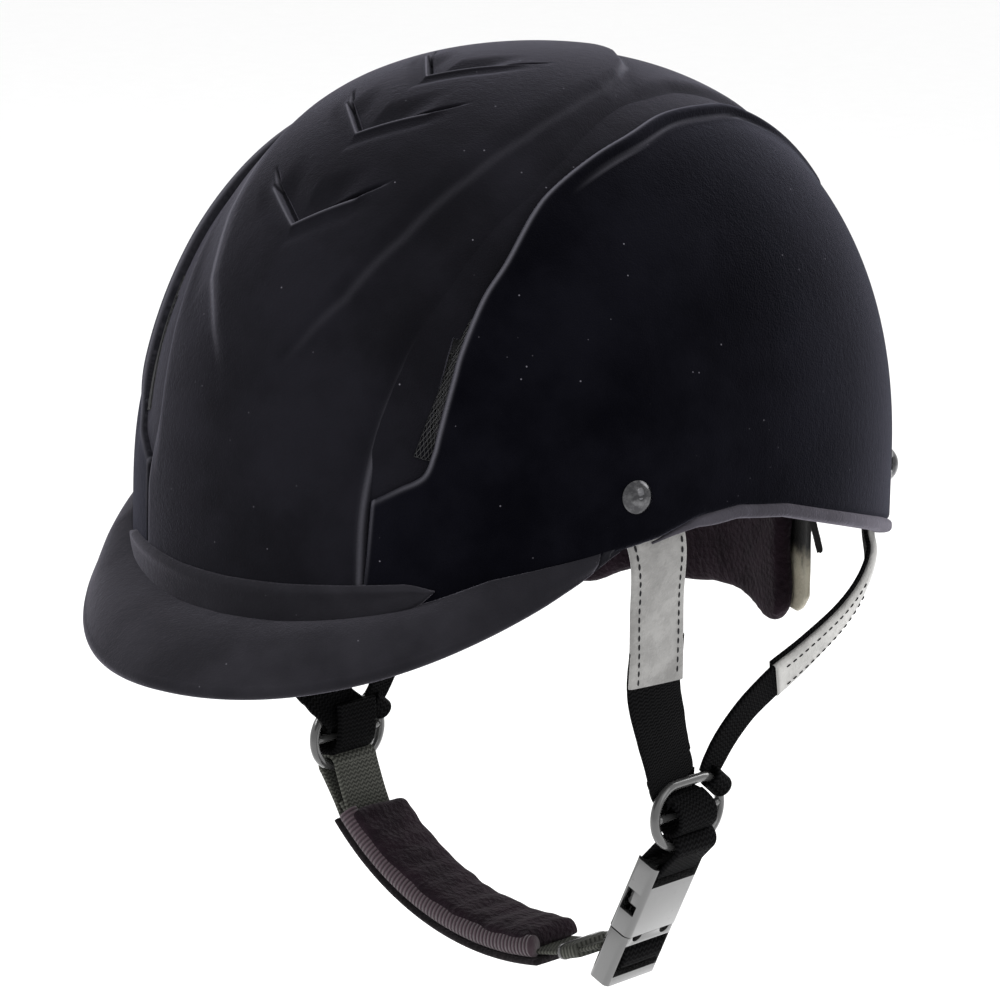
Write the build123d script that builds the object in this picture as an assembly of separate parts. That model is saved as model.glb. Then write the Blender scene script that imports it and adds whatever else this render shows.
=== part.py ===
from build123d import *
import math
import os

# Equestrian riding helmet with its harness, as separate pieces.
#
# Millimetres. +Z is up, the peak points along -Y and the wearer's left is +X. The origin is the
# centre of the head opening's widest level, where the shell starts to curve in towards the crown.

# ---- Shell form: an oval of two half-ellipses in plan, a superellipse in height ----
SHELL_HALF_WIDTH = 107.0
SHELL_FRONT = 127.0
SHELL_REAR = 131.0
CROWN_HEIGHT = 128.3
CROWN_FULLNESS = 2.18
CROWN_RAKE = 0.0344
SKIRT_DEPTH = 45.0

# ---- Wall, from the outside in, as depths below the outer surface ----
PANEL_THICKNESS = 2.0
SHELL_OUTSIDE = 2.1
SHELL_INSIDE = 4.3
LINER_OUTSIDE = 4.4
LINER_INSIDE = 21.0
LINER_SPLIT = 40.0
LINER_GAP = 0.1
PAD_OUTSIDE = 21.1
PAD_THICKNESS = 4.0

# Lower edge of the shell seen from the side, as (y, z) from the peak round to the nape.
RIM_LINE = [
    (-150, -27.5), (-127, -26.5), (-109, -19.5), (-94, -11.5), (-77.5, -7), (-64, -3.2), (-49, 0),
    (-36, 4.6), (-21, 5.8), (0, 3.1), (35, -5.9), (66, -14), (96, -22.5), (116, -26), (150, -27.5),
]

# Panel edges in plan, on the left side, as (x, y) from the peak to the nape.
CROWN_PANEL_EDGE = [
    (42, -135), (43.5, -117), (47.7, -105), (52.7, -86), (57, -56), (56.5, -38), (52, -17), (49, -1),
    (43, 26), (40, 60), (38, 95), (36, 145),
]
SIDE_PANEL_EDGE = [
    (57, -135), (57.8, -104), (59, -92), (60, -73), (58.6, -51), (58, -19), (54, 3), (51, 24), (47, 53),
    (44, 95), (42, 145),
]
LEDGE_INNER = (44, 14)
LEDGE_OUTER = (62, 24)

# Chevron air intakes on the centre line: (y of the point, arm half span, arm run to the rear).
CHEVRONS = [(-96, 15, 9.5), (-68.5, 16.5, 13.5), (-38, 16.5, 18)]
CHEVRON_SLOT = 3.2

VENT_CENTRE = (58.6, -97.5, 45)
VENT_NORMAL = (0.52, -0.80, 0.29)
VENT_LEAN = 12
VENT_SLOT = (4.6, 32.0)
MESH_THICKNESS = 0.8

# ---- Peak ----
PEAK_HALF_WIDTH = 92.0
PEAK_TIP_Y = -155.3
PEAK_SIDE_Y = -37.4
PEAK_TIP_Z = -41.6
PEAK_SIDE_Z = 3.1
PEAK_DROOP = 1.27
PEAK_COVER = 1.2
PEAK_CORE = 2.6
PEAK_LINING = 1.0
PEAK_LAYER_GAP = 0.2
# Sections of the peak on the left side: (angle of the edge point, root point on the shell).
PEAK_ROOTS = [
    (0, (0, -127.6, -27.4)), (25, (34.5, -121.6, -25)), (45, (56, -108.4, -19.8)), (60, (73.3, -93, -12)),
    (70, (85.2, -78, -7.8)), (77, (91, -66.5, -4.3)),
]

# ---- Harness ----
LEATHER_WIDTH = 25.0
LEATHER_THICKNESS = 2.0
FRONT_STRAP_DEPTH = 6.5
REAR_STRAP_DEPTH = 6.2
STRAP_ROOM = 9.0
REAR_LEATHER_WIDTH = 15.0
WEBBING_WIDTH = 20.0
WEBBING_THICKNESS = 1.6
REAR_WEBBING_WIDTH = 10.0

RIVET_HEAD_RADIUS = 5.0
RIVET_HEAD_HEIGHT = 2.4
RIVET_SHANK_RADIUS = 2.0
RIVET_SHANK_LENGTH = 10.6
RIVET_WASHER_RADIUS = 4.5
RIVET_WASHER_THICKNESS = 1.0
SIDE_RIVET = (95.6, -56.0, 13.0)
REAR_RIVET = (73.0, 96.0, -4.0)

RING_CENTRE = (70.6, -1.0, -97.0)
RING_SIZE = (34.0, 22.0)
RING_BAR = 3.0
LOOP_INSIDE = 2.9

# Chin webbing: one arc in the plane y = -1, seen from the front.
CHIN_ARC_CENTRE = (6.0, -59.0)
CHIN_ARC_RADIUS = 92.0
CHIN_ARC_START = 219.5
CHIN_ARC_END = 292.8
CHIN_PAD_SPAN = (223.0, 277.0)
CHIN_PAD_WIDTH = 29.0
KEEPER_SPAN = (284.6, 288.6)

# Side release buckle, in its own frame: s runs down from the top bar, t outwards, width along Y.
BUCKLE_TOP = (64.4, -1.0, -112.2)
BUCKLE_LEAN = 25.4
BUCKLE_WIDTH = 24.0
BUCKLE_THICKNESS = 8.6
SOCKET_LENGTH = 26.0
PLUG_GAP = 0.4
PLUG_LENGTH = 19.0
BUCKLE_SLOT = (20.8, 4.0)
BUCKLE_BAR = 3.6
PRONG_ROOT = 6.5
RUNNING_GAP = 0.3

# ---- Nape pad, hung inside the rear rim ----
NAPE_RADIUS = 90.0
NAPE_CENTRE_Y = 3.0
NAPE_TOP_Z = -18.0
NAPE_HALF_ANGLE = 33.0
NAPE_PAD_THICKNESS = 7.0
NAPE_BACKING_THICKNESS = 2.0
HANGER_DEPTH = 27.4
HANGER_WIDTH = 12.0
LACE_SIZE = 2.0


# ---------------------------------------------------------------- shared shapes
def level_scale(height, crown_height):
    """Size of a level of the dome as a share of its widest level."""
    if height <= 0:
        return 1.0
    return max(1 - (height / crown_height) ** CROWN_FULLNESS, 0) ** (1 / CROWN_FULLNESS)


def dome(depth):
    """Solid inside the surface that lies this deep below the outer one. Negative stands proud."""
    half_width = SHELL_HALF_WIDTH - depth
    crown = CROWN_HEIGHT - depth
    angles = [10, 22, 34, 46, 58, 70, 80]
    heights = [crown * math.sin(math.radians(angle)) for angle in angles]
    points = [(half_width * level_scale(height, crown), 0, height) for height in heights]
    curve = Spline(
        [(half_width, 0, 0), *points, (0, 0, crown)], tangents=[(0, 0, 1), (-1, 0, 0)]
    )
    sides = Polyline(
        (0, 0, crown), (0, 0, -SKIRT_DEPTH), (half_width, 0, -SKIRT_DEPTH), (half_width, 0, 0)
    )
    profile = make_face(curve + sides)
    halves = []
    for length, turn in ((SHELL_FRONT - depth, -180), (SHELL_REAR - depth, 180)):
        half = revolve(profile, Axis.Z, turn).solid()
        stretch = Matrix(
            [[1, 0, 0, 0], [0, length / half_width, CROWN_RAKE, 0], [0, 0, 1, 0]]
        )
        halves.append(half.transform_geometry(stretch))
    return halves[0] + halves[1]


def layer(outside, inside):
    return dome(outside) - dome(inside)


def above_rim(lift=0.0):
    """Everything above the rim line, raised by lift."""
    line = Spline([(0, y, z + lift) for y, z in RIM_LINE])
    top = Polyline(
        (0, RIM_LINE[-1][0], RIM_LINE[-1][1] + lift),
        (0, RIM_LINE[-1][0], 200),
        (0, RIM_LINE[0][0], 200),
        (0, RIM_LINE[0][0], RIM_LINE[0][1] + lift),
    )
    return extrude(make_face(line + top), amount=160, dir=(1, 0, 0), both=True)


def plan_region(edge, far_x):
    """Upright column between a panel edge in plan and a far x."""
    line = Spline([(x, y, -60) for x, y in edge])
    back = Polyline(
        (edge[-1][0], edge[-1][1], -60),
        (far_x, edge[-1][1], -60),
        (far_x, edge[0][1], -60),
        (edge[0][0], edge[0][1], -60),
    )
    return extrude(make_face(line + back), amount=220, dir=(0, 0, 1))


def mirrored(shape):
    return mirror(shape, about=Plane.YZ)


def both_sides(shape):
    """Two like pieces, one each side, as separate solids of one node."""
    return Compound(children=[shape.solid(), mirrored(shape).solid()])


def surface_normal(point):
    """Outward normal of the shell at a point on its side wall."""
    x, y, z = point
    length = SHELL_FRONT if y < 0 else SHELL_REAR
    slope = max(z, 0) / CROWN_HEIGHT ** 2
    return Vector(x / SHELL_HALF_WIDTH ** 2, y / length ** 2, slope).normalized()


def wall_point(y, z, depth):
    """Point on the left of the wall at this depth, and the way the wall faces there."""
    half_width = SHELL_HALF_WIDTH - depth
    length = (SHELL_FRONT if y < 0 else SHELL_REAR) - depth
    scale = level_scale(z, CROWN_HEIGHT - depth)
    x = half_width * math.sqrt(scale ** 2 - ((y - CROWN_RAKE * z) / length) ** 2)
    facing = surface_normal((x, y, 0))
    return (x, y, z), (facing.X, facing.Y, 0)


def strip(stations, width, thickness):
    """Flat strap through stations of (point, direction that its outer face looks)."""
    points = [Vector(*point) for point, _ in stations]
    sections = []
    for index, (_, facing) in enumerate(stations):
        before = points[max(index - 1, 0)]
        after = points[min(index + 1, len(points) - 1)]
        along = (after - before).normalized()
        across = along.cross(Vector(*facing)).normalized()
        plane = Plane(origin=points[index], x_dir=across, z_dir=along)
        sections.append(plane * Rectangle(width, thickness))
    return loft(sections, ruled=True)


def pill_loop(start, end, inside, thickness, width, middle_y):
    """Webbing sewn in a loop round two bars, or round one, whose centres are (x, z)."""
    dx, dz = end[0] - start[0], end[1] - start[1]
    length = math.hypot(dx, dz)
    turn = math.degrees(math.atan2(dz, dx))
    centre = ((start[0] + end[0]) / 2, (start[1] + end[1]) / 2)
    outline = inside + thickness
    if length < 0.01:
        ring = Circle(outline) - Circle(inside)
    else:
        ring = SlotCenterToCenter(length, 2 * outline) - SlotCenterToCenter(length, 2 * inside)
    plane = Plane(origin=(centre[0], middle_y, centre[1]), x_dir=(1, 0, 0), z_dir=(0, -1, 0))
    return extrude(plane * (Rot(0, 0, turn) * ring), amount=width / 2, both=True)


# ---------------------------------------------------------------- shell
def crown_region():
    left = plan_region(CROWN_PANEL_EDGE, 0)
    return left + mirrored(left)


def side_region():
    """Left side panel's column, with the foot that runs forward under the vent channel."""
    upper = plan_region(SIDE_PANEL_EDGE, 150)
    foot_edge = [(x + 0.4, y) for x, y in CROWN_PANEL_EDGE]
    foot = plan_region(foot_edge, 62)
    slope = (LEDGE_OUTER[1] - LEDGE_INNER[1]) / (LEDGE_OUTER[0] - LEDGE_INNER[0])
    low = LEDGE_INNER[1] + slope * (0 - LEDGE_INNER[0])
    high = LEDGE_INNER[1] + slope * (100 - LEDGE_INNER[0])
    under = make_face(
        Polyline((0, -150, -70), (100, -150, -70), (100, -150, high), (0, -150, low), close=True)
    )
    below_ledge = extrude(under, amount=90, dir=(0, 1, 0))
    return upper + (foot & below_ledge)


def chevron(tip_y, half_span, run):
    """One V-shaped slot, seen from above, with its point forward."""
    slot = CHEVRON_SLOT
    face = make_face(
        Polyline(
            (0, tip_y), (half_span, tip_y + run), (half_span - 1.2, tip_y + run + slot),
            (0, tip_y + slot + 1), (1.2 - half_span, tip_y + run + slot), (-half_span, tip_y + run),
            close=True,
        )
    )
    return extrude(Pos(0, 0, 60) * face, amount=90)


def vent_block(width, height, depth_out, depth_in):
    """Block across the wall at the left vent."""
    plane = Plane(origin=VENT_CENTRE, x_dir=(0.84, 0.54, 0), z_dir=VENT_NORMAL)
    block = Pos(0, 0, (depth_out - depth_in) / 2) * Box(width, height, depth_out + depth_in)
    return plane * (Rot(0, 0, -VENT_LEAN) * block)


def shell_pieces(keep):
    panels = layer(0, PANEL_THICKNESS) & keep
    crown = panels & crown_region()
    for tip_y, half_span, run in CHEVRONS:
        crown -= chevron(tip_y, half_span, run)
    side = panels & side_region()
    shell = layer(SHELL_OUTSIDE, SHELL_INSIDE) & keep
    slot = vent_block(*VENT_SLOT, 12, 14)
    shell = shell - slot - mirrored(slot)
    mesh_wall = layer(SHELL_OUTSIDE + 0.4, SHELL_OUTSIDE + 0.4 + MESH_THICKNESS)
    mesh = mesh_wall & vent_block(VENT_SLOT[0] - 0.1, VENT_SLOT[1] - 0.1, 12, 14)
    return {
        "crown_panel": crown,
        "side_panel_left": side,
        "side_panel_right": mirrored(side),
        "outer_shell": shell,
        "vent_mesh_left": mesh,
        "vent_mesh_right": mirrored(mesh),
    }


def rim_binding():
    """Velvet tape round the lower edge, along both ear arches and the nape."""
    tape = layer(0.4, SHELL_INSIDE) & above_rim(-3.4)
    tape -= above_rim(-0.1)
    return tape & Pos(0, 55, 0) * Box(300, 190, 120)


# ---------------------------------------------------------------- liner and pads
def liner_pieces(strap_room):
    liner = layer(LINER_OUTSIDE, LINER_INSIDE) & above_rim(1.0)
    slot = vent_block(VENT_SLOT[0] + 2, VENT_SLOT[1] - 8, 2, 40)
    liner = liner - slot - mirrored(slot)
    for room in strap_room:
        liner = liner - room - mirrored(room)
    pads = layer(PAD_OUTSIDE, PAD_OUTSIDE + PAD_THICKNESS) & above_rim(2.0)
    band = pads & Pos(0, 0, -20) * Box(300, 300, 84)
    brow = band & Pos(0, -95, 0) * Box(190, 95, 120)
    rear = band & Pos(0, 100, 0) * Box(190, 80, 120)
    side = band & Pos(90, 8, 0) * Box(60, 84, 120)
    crown = pads & Pos(0, 4, 110) * Cylinder(42, 60)
    side_liner = liner & Pos(LINER_SPLIT + LINER_GAP + 100, 0, 0) * Box(200, 400, 400)
    return {
        "liner_centre": liner & Box(2 * LINER_SPLIT, 400, 400),
        "liner_left": side_liner,
        "liner_right": mirrored(side_liner),
        "brow_pad": brow,
        "nape_comfort_pad": rear,
        "side_comfort_pads": both_sides(side),
        "crown_pad": crown,
    }


# ---------------------------------------------------------------- peak
def peak_section(angle, root, upper, lower):
    """Cross-section of one layer of the peak, between two depths below its top surface."""
    turn = math.radians(angle)
    y = PEAK_SIDE_Y - (PEAK_SIDE_Y - PEAK_TIP_Y) * math.cos(turn)
    share = (y - PEAK_TIP_Y) / (PEAK_SIDE_Y - PEAK_TIP_Y)
    z = PEAK_TIP_Z + (PEAK_SIDE_Z - PEAK_TIP_Z) * share ** PEAK_DROOP
    edge = Vector(PEAK_HALF_WIDTH * math.sin(turn), y, z)
    start = Vector(*root)
    outward = edge - start
    along = Vector(PEAK_HALF_WIDTH * math.cos(turn), (PEAK_SIDE_Y - PEAK_TIP_Y) * math.sin(turn), 12)
    inward = along.cross(outward)
    inward = Vector(inward.X, inward.Y, min(inward.Z, 0)).normalized()
    corners = [
        start + inward * upper, edge + inward * upper, edge + inward * lower, start + inward * lower
    ]
    return corners


def peak_layer(upper, lower):
    left = [peak_section(angle, root, upper, lower) for angle, root in PEAK_ROOTS]
    right = [[Vector(-p.X, p.Y, p.Z) for p in corners] for corners in reversed(left[1:])]
    sections = [make_face(Polyline(*corners, close=True)) for corners in right + left]
    return loft(sections)


def peak_band():
    """Fabric band that covers the joint between the shell and the peak."""
    outline = make_face(
        Spline([(-58, -150, -12.4), (-30, -150, -15), (0, -150, -16), (30, -150, -15), (58, -150, -12.4)])
        + ThreePointArc((58, -150, -12.4), (60.5, -150, -14), (58, -150, -16.4))
        + Spline(
            [(58, -150, -16.4), (50, -150, -20), (34, -150, -23), (0, -150, -25.6), (-34, -150, -23),
             (-50, -150, -20), (-58, -150, -16.4)]
        )
        + ThreePointArc((-58, -150, -16.4), (-60.5, -150, -14), (-58, -150, -12.4))
    )
    return layer(-2.0, -0.1) & extrude(outline, amount=80, dir=(0, 1, 0))


def peak_pieces():
    core_top = PEAK_COVER + PEAK_LAYER_GAP
    core_bottom = core_top + PEAK_CORE
    lining_top = core_bottom + PEAK_LAYER_GAP
    return {
        "peak_cover": peak_layer(0.02, PEAK_COVER),
        "peak_core": peak_layer(core_top, core_bottom),
        "peak_lining": peak_layer(lining_top, lining_top + PEAK_LINING),
        "peak_band": peak_band(),
    }


# ---------------------------------------------------------------- straps
def front_leather_stations():
    return [
        wall_point(-55.5, 22, FRONT_STRAP_DEPTH),
        wall_point(-53.0, 11, FRONT_STRAP_DEPTH),
        wall_point(-47.5, -5, FRONT_STRAP_DEPTH),
        ((88.6, -39.5, -22), (0.96, -0.25, 0.14)),
        ((79.5, -27.7, -52.5), (0.96, -0.10, 0.26)),
    ]


def rear_leather_stations():
    return [
        wall_point(91.8, 6, REAR_STRAP_DEPTH),
        wall_point(91.8, -5, REAR_STRAP_DEPTH),
        wall_point(91.8, -16, REAR_STRAP_DEPTH),
        wall_point(91.8, -26, REAR_STRAP_DEPTH),
        ((70.4, 90, -33), (0.77, 0.6, -0.15)),
        ((73.6, 83, -40), (0.80, 0.50, -0.3)),
        ((75.0, 69.5, -48.5), (0.85, 0.30, -0.4)),
        ((74.2, 51, -57.5), (0.90, 0.10, -0.4)),
        ((73.0, 38, -63), (0.93, 0, -0.35)),
    ]


def front_webbing():
    """Webbing from the leather tab to the ring, sewn round the ring's middle bar."""
    x, y, z = RING_CENTRE
    middle_y = y - 2
    width = WEBBING_WIDTH - 2
    ribbon = strip(
        [
            ((76.8, -27.0, -50), (0.96, -0.10, 0.26)),
            ((73.2, -18.5, -66), (0.97, 0, 0.25)),
            ((67.7, -7.8, -84.5), (0.99, 0, 0.12)),
            ((66.9, middle_y, z + 1), (1, 0, 0)),
        ],
        width,
        WEBBING_THICKNESS,
    )
    return ribbon + pill_loop((x, z), (x, z), LOOP_INSIDE - 0.2, WEBBING_THICKNESS, width, middle_y)


def rear_webbing():
    """Thin webbing from the rear leather to the ring's upper rear corner."""
    x, y, z = RING_CENTRE
    bend = (RING_SIZE[1] - RING_BAR) / 2
    straight = (RING_SIZE[0] - RING_SIZE[1]) / 2
    turn = math.radians(60)
    corner = Vector(x, y + straight + bend * math.cos(turn), z + bend * math.sin(turn))
    ribbon = strip(
        [
            ((71.3, 36.6, -65.6), (0.93, 0, -0.35)),
            ((71.0, 27, -70.5), (0.95, 0, -0.25)),
            ((69.6, 18.5, -80), (1, 0, -0.1)),
            ((67.2, 12.4, -86.6), (1, 0, 0)),
        ],
        REAR_WEBBING_WIDTH - 2,
        WEBBING_THICKNESS - 0.2,
    )
    plane = Plane(origin=corner, x_dir=(1, 0, 0), z_dir=(0, math.sin(turn), -math.cos(turn)))
    eye = plane * (Circle(LOOP_INSIDE + WEBBING_THICKNESS - 0.2) - Circle(LOOP_INSIDE))
    return ribbon + extrude(eye, amount=REAR_WEBBING_WIDTH / 2 - 2, both=True)


def strap_ring():
    """Three-bar ring that joins the front strap, the rear strap and the chin strap."""
    long_side, short_side = RING_SIZE
    outline = SlotOverall(long_side, short_side)
    window = SlotOverall(long_side - 2 * RING_BAR, short_side - 2 * RING_BAR)
    bar = Rectangle(long_side - RING_BAR, RING_BAR)
    shape = outline - window + (bar & outline)
    plane = Plane(origin=RING_CENTRE, x_dir=(0, 1, 0), z_dir=(1, 0, 0))
    ring = extrude(plane * shape, amount=RING_BAR / 2, both=True)
    return ring


def rivet(point):
    """Head and shank, with the washer that clenches it behind the strap."""
    normal = surface_normal(point)
    side = Plane(origin=point, z_dir=normal)
    ball = (RIVET_HEAD_RADIUS ** 2 + RIVET_HEAD_HEIGHT ** 2) / (2 * RIVET_HEAD_HEIGHT)
    head = Pos(0, 0, RIVET_HEAD_HEIGHT - ball) * Sphere(ball)
    head &= Pos(0, 0, 5.15) * Box(20, 20, 10)
    shank = Pos(0, 0, 0.3 - RIVET_SHANK_LENGTH / 2) * Cylinder(RIVET_SHANK_RADIUS, RIVET_SHANK_LENGTH)
    washer = Cylinder(RIVET_WASHER_RADIUS, RIVET_WASHER_THICKNESS) - Cylinder(RIVET_SHANK_RADIUS + 0.05, 4)
    washer_depth = RIVET_SHANK_LENGTH - 1.0
    return side * (head + shank), side * (Pos(0, 0, -washer_depth) * washer), side


def harness_pieces():
    leather = strip(front_leather_stations(), LEATHER_WIDTH, LEATHER_THICKNESS)
    rear_leather = strip(rear_leather_stations(), REAR_LEATHER_WIDTH, LEATHER_THICKNESS)
    rivets, washers, holes = [], [], []
    for point in (SIDE_RIVET, REAR_RIVET):
        body, washer, side = rivet(point)
        rivets.append(body)
        washers.append(washer)
        holes.append(side * Cylinder(RIVET_SHANK_RADIUS + 0.05, 24))
    for hole in holes:
        leather -= hole
        rear_leather -= hole
    webbing = front_webbing()
    thin_webbing = rear_webbing()
    ring = strap_ring()
    pieces = {
        "strap_rivets": Compound(children=[s.solid() for r in rivets for s in (r, mirrored(r))]),
        "rivet_washers": Compound(children=[s.solid() for w in washers for s in (w, mirrored(w))]),
    }
    for name, piece in (
        ("front_leather", leather), ("rear_leather", rear_leather), ("front_webbing", webbing),
        ("rear_webbing", thin_webbing), ("strap_ring", ring),
    ):
        pieces[name + "_left"] = piece
        pieces[name + "_right"] = mirrored(piece)
    return pieces, holes


# ---------------------------------------------------------------- chin strap
def arc_band(span, depth_in, depth_out, width):
    """Piece that follows the chin arc between two distances from its radius."""
    start, end = span
    x, z = CHIN_ARC_CENTRE
    inner = CHIN_ARC_RADIUS - depth_in
    outer = CHIN_ARC_RADIUS + depth_out
    profile = Pos((inner + outer) / 2, 0, 0) * Rectangle(outer - inner, width)
    swept = revolve(profile, Axis.Y, -(end - start))
    return Pos(x, RING_CENTRE[1], z) * (Rot(0, -start, 0) * swept)


def chin_pieces():
    half = WEBBING_THICKNESS / 2
    x, y, z = RING_CENTRE
    low_bar = z - (RING_SIZE[1] - RING_BAR) / 2
    webbing = arc_band((CHIN_ARC_START, CHIN_ARC_END), half, half, WEBBING_WIDTH)
    turn = math.radians(CHIN_ARC_START)
    start_x = CHIN_ARC_CENTRE[0] + CHIN_ARC_RADIUS * math.cos(turn)
    start_z = CHIN_ARC_CENTRE[1] + CHIN_ARC_RADIUS * math.sin(turn)
    loop_end = (start_x - 1.8, start_z + 5.2)
    right_loop = pill_loop((-x, low_bar), loop_end, LOOP_INSIDE, WEBBING_THICKNESS, WEBBING_WIDTH, y)
    gap = RUNNING_GAP
    fleece = arc_band(CHIN_PAD_SPAN, half + gap + 5.5, -half - gap, CHIN_PAD_WIDTH)
    backing = arc_band(CHIN_PAD_SPAN, -half - gap, half + gap + 2.5, CHIN_PAD_WIDTH)
    keeper = arc_band(KEEPER_SPAN, half + gap + 1.2, half + gap + 1.2, WEBBING_WIDTH + 3)
    keeper_hole = (KEEPER_SPAN[0] - 1, KEEPER_SPAN[1] + 1)
    keeper -= arc_band(keeper_hole, half + gap, half + gap, WEBBING_WIDTH + 0.6)
    return {
        "chin_webbing": webbing,
        "chin_loop_right": right_loop,
        "chin_pad_fleece": fleece,
        "chin_pad_backing": backing,
        "keeper_loop": keeper,
    }


# ---------------------------------------------------------------- buckle
def in_buckle(shape):
    """Places a shape drawn with s along -Z, t along +X and the width along Y."""
    return Pos(*BUCKLE_TOP) * (Rot(0, BUCKLE_LEAN, 0) * shape)


def buckle_block(width, thickness, top, bottom):
    return Pos(0, 0, -(top + bottom) / 2) * Box(thickness, width, bottom - top)


def thin_bar(top, bottom):
    """What is cut from both faces to leave a thin bar for the webbing to wrap."""
    whole = buckle_block(BUCKLE_SLOT[0], 20, top, bottom)
    return whole - buckle_block(BUCKLE_SLOT[0] + 1, BUCKLE_BAR, top - 1, bottom + 1)


def buckle_socket():
    body = buckle_block(BUCKLE_WIDTH, BUCKLE_THICKNESS, 0, SOCKET_LENGTH)
    body = fillet(body.edges().filter_by(Axis.Z), 2.0)
    body -= buckle_block(BUCKLE_SLOT[0], 20, 3, 3 + BUCKLE_SLOT[1])
    body -= thin_bar(-1, 3.1)
    body -= buckle_block(BUCKLE_SLOT[0], 5.6, 8.5, SOCKET_LENGTH + 1)
    body -= buckle_block(40, 5.6, 10.5, 18.5)
    return in_buckle(body)


def buckle_plug():
    top = SOCKET_LENGTH + PLUG_GAP
    bottom = top + PLUG_LENGTH
    body = buckle_block(BUCKLE_WIDTH, BUCKLE_THICKNESS - 0.6, top, bottom)
    body = fillet(body.edges().filter_by(Axis.Z), 2.0)
    body -= buckle_block(BUCKLE_SLOT[0], 20, top + 3.5, top + 3.5 + BUCKLE_SLOT[1])
    body -= buckle_block(BUCKLE_SLOT[0], 20, top + 11.5, top + 11.5 + BUCKLE_SLOT[1])
    body -= thin_bar(top + 3.6, top + 15.4)
    tongue = buckle_block(4.4, 4.2, 10.5, top + 1)
    for side in (-1, 1):
        body -= Pos(0, side * PRONG_ROOT, -top) * Rot(0, 90, 0) * Cylinder(2.2, 20)
    return in_buckle(body + tongue)


def buckle_prong(side):
    """Springy arm beside the tongue, with the thumb pad that shows in the socket's window."""
    root = SOCKET_LENGTH + PLUG_GAP
    outline = make_face(
        Polyline(
            (4.9, -root), (4.9, -13), (6.2, -11.4), (9.9, -11.4), (9.9, -16.5), (7.8, -18.5), (7.8, -root),
            close=True,
        )
    )
    plane = Plane(origin=(0, 0, 0), x_dir=(0, 1, 0), z_dir=(1, 0, 0))
    arm = extrude(plane * outline, amount=2.1, both=True)
    hub = Pos(0, PRONG_ROOT, -root) * Rot(0, 90, 0) * Cylinder(1.6, 4.2)
    prong = arm + hub
    if side < 0:
        prong = mirror(prong, about=Plane.XZ)
    return in_buckle(prong)


def buckle_loops():
    """Webbing round the socket's top bar and the left ring, and round the plug's middle bar."""
    turn = math.radians(BUCKLE_LEAN)
    x, y, z = RING_CENTRE
    low_bar = (x, z - (RING_SIZE[1] - RING_BAR) / 2)

    def on_axis(distance):
        return (BUCKLE_TOP[0] - distance * math.sin(turn), BUCKLE_TOP[2] - distance * math.cos(turn))

    upper = pill_loop(low_bar, on_axis(1.5), LOOP_INSIDE, WEBBING_THICKNESS - 0.2, WEBBING_WIDTH, y)
    bar = on_axis(SOCKET_LENGTH + PLUG_GAP + 9.5)
    lower = pill_loop(bar, bar, LOOP_INSIDE + 0.4, WEBBING_THICKNESS, WEBBING_WIDTH, y)
    return upper, lower


def buckle_pieces():
    upper, lower = buckle_loops()
    return {
        "buckle_socket": buckle_socket(),
        "buckle_plug": buckle_plug(),
        "buckle_prong_front": buckle_prong(-1),
        "buckle_prong_rear": buckle_prong(1),
        "socket_loop": upper,
        "plug_loop": lower,
    }


# ---------------------------------------------------------------- nape
def nape_band(inner, outer, half_angle, low_points):
    """Curved upright band behind the head, cut to a wavy lower edge."""
    arc = revolve(
        Plane.XZ * Pos((inner + outer) / 2, -40) * Rectangle(outer - inner, 80), Axis.Z, 2 * half_angle
    )
    band = Pos(0, NAPE_CENTRE_Y, 0) * (Rot(0, 0, 90 - half_angle) * arc)
    lower = Spline([(x, 0, z) for x, z in low_points])
    first, last = low_points[0], low_points[-1]
    upper = Polyline(
        (last[0], 0, last[1]), (last[0], 0, NAPE_TOP_Z), (first[0], 0, NAPE_TOP_Z), (first[0], 0, first[1])
    )
    return band & extrude(make_face(lower + upper), amount=130, dir=(0, 1, 0))


def nape_pieces():
    half_edge = [(58, -38), (50, -49), (40, -57), (28, -52), (12, -50.5)]
    pad_edge = [(-x, z) for x, z in half_edge] + [(0, -51.5)] + half_edge[::-1]
    backing_edge = [(x * 1.2, z + 4) for x, z in pad_edge]
    inner = NAPE_RADIUS - NAPE_PAD_THICKNESS
    pad = nape_band(inner, NAPE_RADIUS, NAPE_HALF_ANGLE, pad_edge)
    outer = NAPE_RADIUS + 0.1 + NAPE_BACKING_THICKNESS
    backing = nape_band(NAPE_RADIUS + 0.1, outer, NAPE_HALF_ANGLE + 8, backing_edge)
    hanger = strip(
        [
            wall_point(98.0, 4, HANGER_DEPTH),
            wall_point(98.0, -10, HANGER_DEPTH),
            ((28.5, 91.8, -24), (0.3, 0.95, 0)),
        ],
        HANGER_WIDTH,
        WEBBING_THICKNESS,
    )
    lace = strip(
        [
            ((71.0, 54.5, -8), (1, 0.5, 0)),
            ((66.0, 66.0, -20), (1, 0.5, 0)),
            ((62.4, 74.0, -30), (1, 0.5, 0)),
        ],
        LACE_SIZE,
        LACE_SIZE,
    )
    return {
        "nape_pad": pad,
        "nape_backing": backing,
        "nape_hangers": both_sides(hanger),
        "nape_laces": both_sides(lace),
    }


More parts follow.
